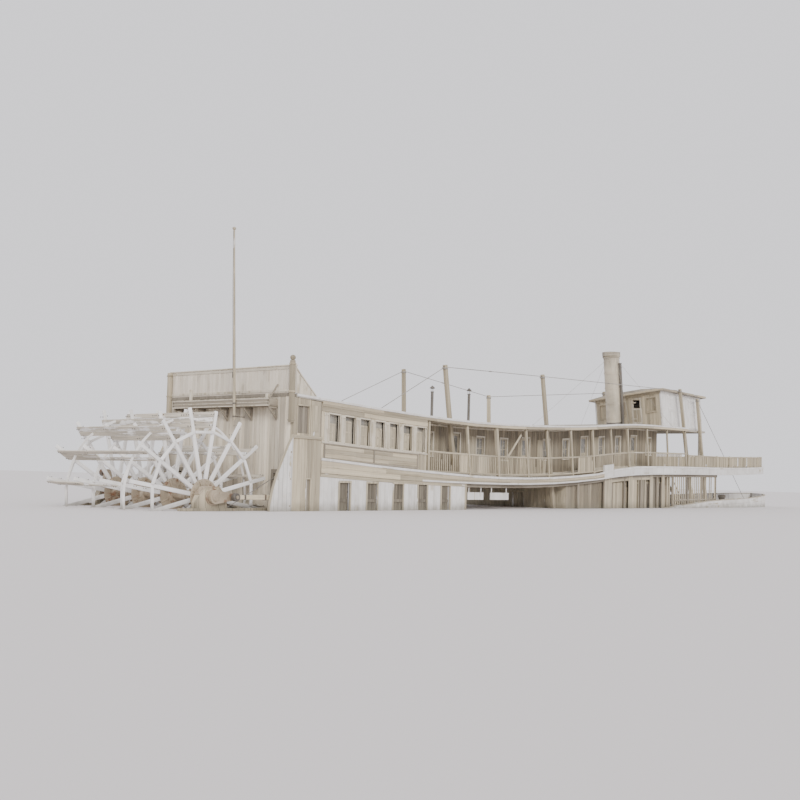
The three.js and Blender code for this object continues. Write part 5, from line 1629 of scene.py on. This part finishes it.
def dress_window(piece, panes, at, hole):
    """A window's frame, sash and glass."""
    piece.surround(at, hole, 0.06, -0.02, 0.035, sill=0.03)
    piece.sash(at, hole, -0.05, columns=2, rows=1)
    if panes:
        panes.pane(at, hole)


def draw_pilothouse_side(side, at, side_boards, trim, panes):
    """One side's boards and trim. Its windows are glazed to port and boarded up to starboard."""
    s0, s1, floor = PILOT.s0, PILOT.s1, pilot_foot(side * PILOT.half)
    side_boards.planks(at, s0, s1, floor, HOUSE_TOP, 0.2, -0.01, 0.02, PILOT_SIDE_WINDOWS)
    for hole in PILOT_SIDE_WINDOWS:
        t0, t1, low, top = hole
        if side > 0:
            dress_window(trim, panes, at, hole)
        else:
            side_boards.planks(at, t0 - 0.04, t1 + 0.04, low - 0.06, top + 0.05, 0.16, 0.022, 0.042)
            for z in (low + 0.06, top - 0.14):
                side_boards.board(at, t0, t1, 0.03, 0.056, z, z + 0.09)
    trim.strake(at, s0, s1, 0, 0.05, floor, above(floor, 0.16), 0.012)
    for t in (s0 - 0.02, s1 - 0.1):
        trim.board(at, t, t + 0.12, -0.05, 0.045, floor, HOUSE_TOP)
    trim.strake(at, s0, s1, 0, 0.055, HOUSE_TOP - 0.14, HOUSE_TOP, 0.012)


def draw_pilothouse_walls():
    """The two sides and the front, with one piece for their boards and one for their trim."""
    half = PILOT.half
    side_boards = Piece("pilothouse_side_boards", racked)
    trim = Piece("pilothouse_trim", racked)
    panes = Piece("pilothouse_glass", racked)
    for side, _ in SIDES:
        draw_pilothouse_side(side, side_wall(side * half), side_boards, trim, panes)
    front, foot = cross_wall(PILOT.s1, 1), pilot_foot_across(PILOT.s1)
    side_boards.planks(front, -half, half, foot, HOUSE_TOP, 0.2, -0.01, 0.02, PILOT_FRONT_WINDOWS)
    for hole in PILOT_FRONT_WINDOWS:
        dress_window(trim, panes, front, hole)
    side_boards.build(pilot_white)
    trim.build(white)
    panes.build(clear_glass)


def draw_pilothouse_aft():
    """The aft wall round its level door, with all its windows boarded up."""
    aft, foot, half = cross_wall(PILOT.s0, -1), pilot_foot_across(PILOT.s0), PILOT.half
    start, end = PILOT_DOOR.jamb - PILOT_DOOR.width - 0.03, PILOT_DOOR.jamb + 0.006
    door = (start, end, level_with_door(-0.018), level_with_door(PILOT_DOOR.height + 0.018))
    aft_boards = Piece("pilothouse_aft_boards", racked)
    aft_boards.planks(aft, -half, half, foot, HOUSE_TOP, 0.2, -0.01, 0.006, [door, *PILOT_AFT_WINDOWS])
    aft_boards.build(boards)
    trim = Piece("pilothouse_aft_trim", racked)
    shutters = Piece("pilothouse_aft_shutters", racked)
    for hole in PILOT_AFT_WINDOWS:
        dress_window(trim, None, aft, hole)
        t0, t1, low, top = hole
        shutters.planks(aft, t0 + 0.01, t1 - 0.01, low + 0.01, top - 0.01, 0.16, -0.09, -0.06)
    shutters.build(rail_boards)
    trim.board(aft, -half, half, 0, 0.045, HOUSE_TOP - 0.14, HOUSE_TOP)
    trim.build(boards)


def draw_pilothouse_door():
    """Panels planted on the leaf."""
    piece = Piece("pilothouse_door_panels", rehung)
    end, low = PILOT_DOOR.jamb - 0.012, PILOT_DOOR.low
    draw_leaf(piece, cross_wall(PILOT.s0, -1), end - PILOT_DOOR.width, end, low, low + PILOT_DOOR.height)
    piece.build(boards, "cream_paint", "pilothouse_door_leaf")


def eave_gap(s, top, lean):
    """The drawn stretch of the eave that a hog post passes."""
    at_eave = s + lean * (top - HOUSE_TOP) + RACK.aft * (HOUSE_TOP - PILOT.foot)
    return at_eave - 0.3, at_eave + 0.34


def draw_pilothouse_roof():
    """Eave mouldings and battens over the crown."""
    piece = Piece("pilothouse_eaves", racked)
    s0, s1, half = PILOT.s0 - PILOT.eave, PILOT.s1 + PILOT.eave, PILOT.half + PILOT.eave
    z = HOUSE_TOP + 0.05
    gaps = [eave_gap(s, top, lean) for s, top, lean in HOG_POSTS["starboard"][2:]]
    marks = [s0, *(t for gap in gaps for t in gap), s1]
    for side, _ in SIDES:
        for a, b in zip(marks[::2], marks[1::2]):
            piece.bar([(a, side * half, z), (b, side * half, z)], 0.05, 0.12, bevel=0.015)
    for s in (s0, s1):
        piece.bar([(s, -half, z), (s, half, z)], 0.05, 0.12, ALONG, 0.015)
    piece.build(boards, "white_paint")
    crown = Piece("pilothouse_battens", racked)
    top, edge = PILOT.crown + 0.008, HOUSE_TOP + 0.11
    for i in range(1, 7):
        s = s0 + (s1 - s0) * i / 7
        route = [(s, 0.04 - half, edge), (s, -1.2, top), (s, 1.2, top), (s, half - 0.04, edge)]
        crown.bar(route, 0.04, 0.024, ALONG, 0.006)
    crown.build(roof_cloth)


def stack_at(z, y=0.0, s=0.0):
    """A spot beside the leaning stack's middle."""
    return Vector((STACK.s + s - STACK.lean * (z - STACK.foot), y, z))


def escape_at(z):
    return stack_at(z, ESCAPE.y, ESCAPE.s - STACK.s)


def draw_stack_bands():
    """Bands, rows of rivets, a rolled rim and seams on the stack."""
    piece = Piece("stack_bands")
    radius, top = STACK.radius, STACK.top
    for z in STACK_JOINTS:
        piece.turn(stack_at(z), STACK_AXIS, hoop(radius - 0.01, radius + 0.014, 0.09, 0.004), 36)
        piece.bolt_ring(stack_at(z + 0.045), UP, radius + 0.012, 28, 0.013, 0.014, outward=True)
    for z, grow in ((top - 0.3, 0.075), (top - 0.04, 0.08)):
        piece.turn(stack_at(z), STACK_AXIS, hoop(radius + 0.02, radius + grow, 0.055, 0.01), 36)
    for turn in (35, 215):
        for low, high in zip(STACK_JOINTS, STACK_JOINTS[1:]):
            fore, out = turned(turn + 40 * (low % 2))
            seam = [stack_at(z) + Vector((fore, out, 0)) * (radius + 0.004) for z in (low + 0.09, high)]
            piece.bar(seam, 0.05, 0.012, (-out, fore, 0), 0.004)
    piece.build(tan_iron)


def draw_stack_fittings():
    """Flashing at the roof, the escape pipe's bands, and the stack's guys."""
    flashing = Piece("stack_flashing")
    radius, deck = STACK.radius, roof(STACK.s) - 0.01
    rings = ((0.22, 0), (0.2, 0.05), (0.03, 0.2), (0.012, 0.3), (0.012, 0.32))
    flashing.turn(stack_at(deck), STACK_AXIS, [(radius + grow, rise) for grow, rise in rings], 32)
    flashing.turn(escape_at(deck), STACK_AXIS, ((0.2, 0), (0.19, 0.04), (0.1, 0.14), (0.1, 0.18)), 20)
    for z in ESCAPE.bands:
        band = escape_at(z)
        flashing.turn(band, STACK_AXIS, hoop(0.09, 0.105, 0.056, 0.006))
        flashing.bar([band + Vector((0, 0.08, 0.025)), stack_at(z + 0.025, -0.49)], 0.05, 0.02, UP, 0.005)
    flashing.turn(escape_at(ESCAPE.top - 0.05), STACK_AXIS, hoop(0.088, 0.115, 0.055, 0.01))
    flashing.build(dark_iron)
    guys = Piece("stack_guys")
    for s, y in product(GUYS.feet, (-GUYS.y, GUYS.y)):
        foot = roof(s) + 0.02
        guys.tube([stack_at(GUYS.head, math.copysign(radius + 0.02, y) * 0.7), (s, y, foot)], 0.007, 5)
        guys.turn((s, y, foot - 0.02), UP, ((0.045, 0), (0.045, 0.02), (0.02, 0.03), (0.02, 0.07)), 8)
    guys.build(rod_iron)


for side, name in SIDES:
    draw_hog_truss(side, name)
draw_roof_details()
draw_pilothouse_walls()
draw_pilothouse_aft()
draw_pilothouse_door()
draw_pilothouse_roof()
draw_stack_bands()
draw_stack_fittings()


# Fore deck, machinery, rudders and hull

HATCH = Sizes(s0=46.4, s1=48.8, half=0.95, top=0.14)
BITTS = (45.2, 49.9, 54.6)
CHOCK = (53.6, 0.6)
CAPSTAN = 51.6
WHELP = ((0.27, 0.12), (0.2, 0.25), (0.185, 0.5), (0.22, 0.7))  # radius and height over the foot
STAIRS = Sizes(s0=39.4, s1=42.9, half=0.5, treads=12)
BOILER = Sizes(s0=25.6, s1=34.3, radius=0.85, z=0.62, dome=29.5)
BOILER_BANDS = [BOILER.s0 + 2.0 + i * 0.9 for i in range(6)]
ENGINE = Sizes(y=3.02, radius=0.26, s0=4.7, s1=6.7, bands=(5.2, 5.7, 6.2), pipes=(5.0, 6.4))
TIMBER = Sizes(inner=2.66, outer=2.98, top=0.1, straps=(-4.4, -2.3, -1.4, -0.4, 8.9))
BEARING = Sizes(half=0.7, top=0.84)
CRANK_THROW = 0.75
CRANK_TURNS = {"starboard": 0, "port": 90}
PITMAN = Sizes(inner=3.25, outer=3.42, length=5.0, deep=0.11, eye=0.15,
               straps=(0.08, 0.28, 0.5, 0.72, 0.92))  # shares of the length
RUDDER = Sizes(s=0.3, y=1.6, aft=-0.75, fore=0.92, half=0.045, foot=-2.95,
               straps=(-2.75, -2.25), bolts=(-0.6, -0.3, 0.0, 0.6, 0.78))
WALES = ((-2.98, -2.8, 3.7, 48.0), (-2.3, -2.16, 1.6, 53.5))  # low, high, and S from and to
WALE_LENGTH = 6.2
STEM = ((52.5, -2.75), (55.5, -2.1), (57.2, -1.2), (57.8, -0.3))


def draw_fore_deck():
    piece = Piece("hatch_boards")
    s0, s1, half, top = HATCH.s0, HATCH.s1, HATCH.half, HATCH.top
    for i in range(8):
        y = -half + (i + 0.5) * half / 4
        piece.bar([(s0 + 0.06, y, top), (s1 - 0.06, y, top)], half / 4 - 0.012, 0.03, bevel=0.006)
    for side, _ in SIDES:
        piece.strake(side_wall(side * half), s0, s1, -0.02, 0.04, over_main(0.02), top - 0.01, 0.015)
    for s, out in ((s0, -1), (s1, 1)):
        piece.board(cross_wall(s, out), -half, half, -0.02, 0.04, main(s) + 0.02, top - 0.01)
    piece.build(boards)
    irons = Piece("deck_irons")
    bitt = ((0.1, 0), (0.1, 0.03), (0.07, 0.06), (0.065, 0.34), (0.09, 0.38), (0.09, 0.42), (0.05, 0.45))
    for side, _ in SIDES:
        for s in BITTS:
            y, floor = side * min(2.9, half_breadth(s, BOW) - 0.55), main(s)
            for along in (-0.2, 0.2):
                irons.turn((s + along, y, floor), UP, bitt, 14)
            irons.bar([(s - 0.34, y, floor + 0.02), (s + 0.34, y, floor + 0.02)], 0.24, 0.05)
        s, y = CHOCK
        irons.bar([(s, side * y, main(s) + 0.09), (s + 0.5, side * y, main(s) + 0.11)], 0.07, 0.06)
    irons.build(dark_iron)
    stem = Piece("bow_irons")
    stem.post(58.08, 0, main(58) - 0.15, main(58) + 0.95, 0.12, 0.05)
    stem.build(dark_iron)


def draw_capstan():
    """A whelped barrel under a drum head with sockets for its bars."""
    piece = Piece("capstan_drawn")
    s, foot = CAPSTAN, main(CAPSTAN) + 0.071
    barrel = ((0.34, 0), (0.34, 0.08), (0.3, 0.12), (0.19, 0.2), (0.165, 0.45), (0.19, 0.68), (0.22, 0.72))
    head = ((0.2, 0.71), (0.29, 0.73), (0.3, 0.76), (0.3, 0.9), (0.27, 0.94), (0.08, 0.955))
    for profile in (barrel, head):
        piece.turn((s, 0, foot), UP, profile, 24)
    for i in range(8):
        fore, out = turned(i * 45)
        whelp = [(s + fore * r, out * r, foot + z) for r, z in WHELP]
        piece.bar(whelp, 0.06, 0.05, (-out, fore, 0), 0.01)
        socket = [(s + fore * r, out * r, foot + 0.83) for r in (0.285, 0.308)]
        piece.bar(socket, 0.075, 0.075, (-out, fore, 0), 0.008)
    piece.bolt_ring((s, 0, foot + 0.08), UP, 0.31, 12, 0.014, 0.014)
    piece.build(iron, body="capstan_barrel", replaces=["capstan"])


def draw_stairs():
    piece = Piece("stair_boards")
    s0, s1, half, treads = STAIRS.s0, STAIRS.s1, STAIRS.half, STAIRS.treads
    top, going = upper(s0) - 0.02, (s1 - s0 - 0.2) / treads
    rise = (upper(s0) - main(s1)) / treads
    for i in range(treads - 1):
        s, z = s0 + 0.02 + (i + 0.77) * going, top - (i + 1) * rise - 0.015
        piece.bar([(s, -half + 0.02, z), (s, half - 0.02, z)], going, 0.045, ALONG)
    for side, _ in SIDES:
        y = side * (half - 0.025)
        foot = main(s1) + 0.08
        piece.bar([(s0 + 0.1, y, top - 0.1), (s1 - 0.15, y, foot)], 0.06, 0.2, bevel=0.01)
        piece.bar([(s0 + 0.1, y, top + 0.8), (s1 - 0.1, y, foot + 0.85)], 0.06, 0.05)
        for share in (0.02, 0.36, 0.7, 0.98):
            z = top - share * (top - foot)
            piece.post(s0 + 0.1 + share * (s1 - s0 - 0.2), y, z - 0.05, z + 0.84, 0.05, 0.05, bevel=0.008)
    piece.build(boards, replaces=["bow_stairs"])


def draw_boiler():
    """Bands, rows of rivets, fire doors and smoke-box doors."""
    piece = Piece("boiler_fittings")
    radius, z = BOILER.radius, BOILER.z
    for s in BOILER_BANDS:
        piece.turn((s, 0, z), ALONG, hoop(radius - 0.01, radius + 0.012, 0.08, 0.004), 40)
        piece.bolt_ring((s + 0.04, 0, z), ALONG, radius + 0.01, 32, 0.014, 0.014, outward=True)
    dome = ((0.3, 0), (0.3, 0.28), (0.26, 0.36), (0.12, 0.41), (0.02, 0.42))
    piece.turn((BOILER.dome, 0, z + radius - 0.04), UP, dome, 24)
    for y, (face, out, low) in product((-0.62, 0.62), ((BOILER.s0, -1, 0.25), (BOILER.s1, 1, 0.35))):
        at = cross_wall(face, out)
        wide = min(0.3, 0.95 - abs(y))
        piece.board(at, y - wide, y + wide, -0.01, 0.035, low, low + 0.62, 0.02)
        for up in (0.1, 0.45):
            piece.board(at, y - wide, y + wide * 0.6, 0.03, 0.05, low + up, low + up + 0.05)
        piece.bolt(Vector((face + out * 0.04, y + wide * 0.7, low + 0.32)), (out, 0, 0), 0.03, 0.04)
    piece.build(iron)


def draw_engines():
    radius, z = ENGINE.radius, WHEEL.z + 0.02
    cover = (
        (radius - 0.02, -0.05), (radius + 0.03, -0.045), (radius + 0.03, 0.02),
        (0.22, 0.03), (0.08, 0.06), (0.08, 0.14),
    )
    for side, name in SIDES:
        piece = Piece(f"engine_fittings_{name}")
        y = side * ENGINE.y
        for s, out in ((ENGINE.s0, -1), (ENGINE.s1, 1)):
            piece.turn((s, y, z), (out, 0, 0), cover, 28)
            piece.bolt_ring((s + out * 0.02, y, z), (out, 0, 0), radius - 0.01, 12, 0.018, 0.02)
        for s in ENGINE.bands:
            piece.turn((s, y, z), ALONG, hoop(radius - 0.01, radius + 0.01, 0.044, 0.004), 28)
        piece.tube([(1.4, y, z), (ENGINE.s0, y, z)], 0.035, 10)
        piece.bar([(1.9, y, z), (2.25, y, z)], 0.26, 0.3)
        for s in ENGINE.pipes:
            piece.tube([(s, y, z + 0.4), (s, y, 1.05), (s + 0.3, side * 2.5, 1.12)], 0.05, 10)
        piece.build(iron)


def draw_wheel_timbers():
    """Straps and bolts on the timbers and the caps over the wheel's bearings."""
    half, top = BEARING.half, BEARING.top + 0.005
    for side, name in SIDES:
        piece = Piece(f"bearing_irons_{name}")
        out, middle = TIMBER.outer, side * (TIMBER.inner + TIMBER.outer) / 2
        marks = ((-0.84, 0.58), (-0.42, top), (0.42, top), (0.84, 0.58))
        cap = [(WHEEL.s + a * half, middle, z) for a, z in marks]
        piece.bar(cap, TIMBER.outer - TIMBER.inner - 0.04, 0.045)
        for a, beside in product((-0.55, 0.55), (-0.09, 0.09)):
            piece.bolt(Vector((WHEEL.s + a * half, middle + beside, 0.77)), UP, 0.03, 0.06)
        for s in TIMBER.straps:
            piece.post(s, side * (out + 0.008), -0.38, TIMBER.top, 0.07, 0.02, ALONG, 0.005)
            for z in (-0.28, 0.0):
                piece.bolt(Vector((s, side * (out + 0.018), z)), (0, side, 0), 0.022)
        flange = ((0.3, 0), (0.3, 0.03), (0.27, 0.04), (0.17, 0.04))
        piece.turn((WHEEL.s, side * (out - 0.03), WHEEL.z), (0, side, 0), flange, 28)
        piece.build(rusty_iron)


def pitman_eye(spot, hole, radius):
    """The rings of an eye's hoop round a pin across the vessel."""
    half = (PITMAN.outer - PITMAN.inner) / 2
    edge, face = radius - 0.01, half - 0.01
    outline = ((hole, -half), (edge, -half), (radius, -face), (radius, face), (edge, half), (hole, half))
    turns = [turned(k * 15) for k in range(24)]
    return [[spot + Vector((fore * r, n, up * r)) for r, n in outline] for fore, up in turns]


def draw_pitmans():
    """Wooden beams bound with iron, with strapped eyes."""
    wide, deep = PITMAN.outer - PITMAN.inner - 0.03, 2 * PITMAN.deep
    for side, name in SIDES:
        fore, up = turned(CRANK_TURNS[name])
        y = side * (PITMAN.inner + PITMAN.outer) / 2
        s, fall = WHEEL.s + CRANK_THROW * fore, CRANK_THROW * up
        a = Vector((s, y, WHEEL.z + fall))
        b = Vector((s + math.sqrt(PITMAN.length ** 2 - fall ** 2), y, WHEEL.z))
        along, middle = (b - a).normalized(), a.lerp(b, 0.5)
        upward = Vector(ACROSS).cross(along)
        piece = Piece(f"pitman_beam_{name}")
        aft, fore = (a + along * 0.14, 0.15), (b - along * 0.1, 0.13)
        for ends in ((aft, (middle, deep)), ((middle, deep), fore)):
            piece.loft([
                [spot + Vector((0, u, 0)) + upward * v for u, v in cut_corners(wide, height, 0.015)]
                for spot, height in ends
            ])
        piece.build(boards, body=f"pitman_{name}_rod", replaces=[f"pitman_{name}"])
        irons = Piece(f"pitman_irons_{name}")
        irons.loft(pitman_eye(a, 0.068, PITMAN.eye), loop=True)
        irons.loft(pitman_eye(b, 0.05, 0.11), loop=True)
        for share in PITMAN.straps:
            spot = a.lerp(b, share)
            height = 0.15 + (deep - 0.15) * (1 - abs(share - 0.5) * 2) + 0.02
            irons.bar([spot - along * 0.04, spot + along * 0.04], wide + 0.02, height, bevel=0.008)
            for out in (-1, 1):
                irons.bolt(spot + Vector((0, out * (wide / 2 + 0.01), 0)), (0, out, 0), 0.018, 0.012)
        irons.build(dark_iron, body=f"pitman_{name}_rod")


def rudder_top(t):
    """Height of a rudder's sloping top, which falls faster forward of its stock."""
    if t < RUDDER.s:
        return -1.86 - 0.16 * (t - RUDDER.aft) / (RUDDER.s - RUDDER.aft)
    return -2.02 - 0.28 * (t - RUDDER.s) / (RUDDER.fore - RUDDER.s)


def draw_rudders():
    """Upright planks held by iron straps, on the stock."""
    half, aft, fore = RUDDER.half, RUDDER.aft, RUDDER.fore
    for side, name in SIDES:
        piece = Piece(f"rudder_planks_{name}")
        y = side * RUDDER.y
        piece.planks(side_wall(y), aft, fore, RUDDER.foot, rudder_top, 0.24, -half, half)
        piece.turn((RUDDER.s, y, RUDDER.foot + 0.05), UP, ((0.068, 0), (0.068, main(0) - RUDDER.foot)))
        head = ((0.12, 0), (0.12, 0.09), (0.1, 0.11), (0.05, 0.115))
        piece.turn((RUDDER.s, y, main(0.2) + 0.001), UP, head, 20)
        for z, out in product(RUDDER.straps, (-1, 1)):
            face = y + out * (half + 0.006)
            piece.bar([(aft + 0.05, face, z), (fore - 0.1, face, z)], 0.016, 0.08, bevel=0.004)
            for s in RUDDER.bolts:
                piece.bolt(Vector((s, face + out * 0.006, z)), (0, out, 0), 0.018, 0.014)
        piece.build(rudder_boards, body=f"rudder_{name}_blade", replaces=[f"rudder_{name}"])


def draw_hull():
    """Wales along the side and the chine, and a shoe on the stem."""
    for side, name in SIDES:
        edge = Edge(side, 0.5, BOW - 0.1, 0.3)
        piece = Piece(f"hull_wales_{name}")
        for low, high, start, end in WALES:
            while start < end:
                stop = min(start + WALE_LENGTH, end)
                piece.strake(edge, start, stop - 0.008, -0.02, 0.04, low, high, 0.02)
                start = stop
        piece.build(dark_boards)
    keel = Piece("stem_shoe")
    keel.bar([(s + 0.03, 0, z - 0.015) for s, z in STEM], 0.16, 0.05)
    keel.build(dark_iron)


draw_fore_deck()
draw_capstan()
draw_stairs()
draw_boiler()
draw_engines()
draw_wheel_timbers()
draw_pitmans()
draw_rudders()
draw_hull()


# Camera, floor and light: the eye is 1.25 m above the water, off the starboard quarter

EYE = (-27.9, -30.66, 1.25)
HEADING, PITCH, ROLL = 38.3, 2.45, 1.6  # degrees; the heading from forward towards port
LENS, LENS_SHIFT, FARTHEST = 46.9, 0.045, 2000
FLOOR_REACH, FLOOR_COLOR, FLOOR_ROUGH = 900.0, (0.69, 0.66, 0.655, 1), 0.9
SKY_COLOR, SKY_STRENGTH = (0.805, 0.795, 0.83, 1), 1.5
SUN = Sizes(way=(0.52, 0.74, -0.40), strength=2.2, spread=18, color=(1.0, 0.97, 0.92))


def put_in_scene(name, data):
    item = bpy.data.objects.new(name, data)
    bpy.context.scene.collection.objects.link(item)
    return item


def aim(item, way, roll=0):
    """Turn a camera or a light to look along a way, and roll it about that."""
    item.rotation_mode = "QUATERNION"
    turn = Quaternion((0, 0, 1), math.radians(roll))
    item.rotation_quaternion = Vector(way).to_track_quat("-Z", "Y") @ turn


def make_camera():
    camera = put_in_scene("camera", bpy.data.cameras.new("camera"))
    camera.data.lens = LENS
    camera.data.shift_y = LENS_SHIFT
    camera.data.clip_end = FARTHEST
    heading, pitch = math.radians(HEADING), math.radians(PITCH)
    flat = math.cos(pitch)
    aim(camera, (math.cos(heading) * flat, math.sin(heading) * flat, math.sin(pitch)), ROLL)
    camera.location = place(*EYE)
    bpy.context.scene.camera = camera


def make_floor():
    """A pale floor at the water line."""
    mesh = bpy.data.meshes.new("floor")
    height = place(0, 0, 0).z
    corners = ((-1, -1), (1, -1), (1, 1), (-1, 1))
    mesh.from_pydata([(x * FLOOR_REACH, y * FLOOR_REACH, height) for x, y in corners], [], [(0, 1, 2, 3)])
    made = bpy.data.materials.new("floor")
    made.use_nodes = True
    shader = made.node_tree.nodes["Principled BSDF"]
    shader.inputs["Base Color"].default_value = FLOOR_COLOR
    shader.inputs["Roughness"].default_value = FLOOR_ROUGH
    mesh.materials.append(made)
    put_in_scene("floor", mesh)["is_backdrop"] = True


def make_light():
    """A pale sky round the vessel and a soft sun."""
    world = bpy.data.worlds.new("studio")
    world.use_nodes = True
    back = world.node_tree.nodes["Background"]
    back.inputs["Color"].default_value = SKY_COLOR
    back.inputs["Strength"].default_value = SKY_STRENGTH
    bpy.context.scene.world = world
    sun = put_in_scene("key", bpy.data.lights.new("key", "SUN"))
    sun.data.energy = SUN.strength
    sun.data.angle = math.radians(SUN.spread)
    sun.data.color = SUN.color
    aim(sun, SUN.way)


make_camera()
make_floor()
make_light()
({name: [list(corner) for corner in box] for name, box in
           {"cad": cad_box, "visual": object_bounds()}.items()})
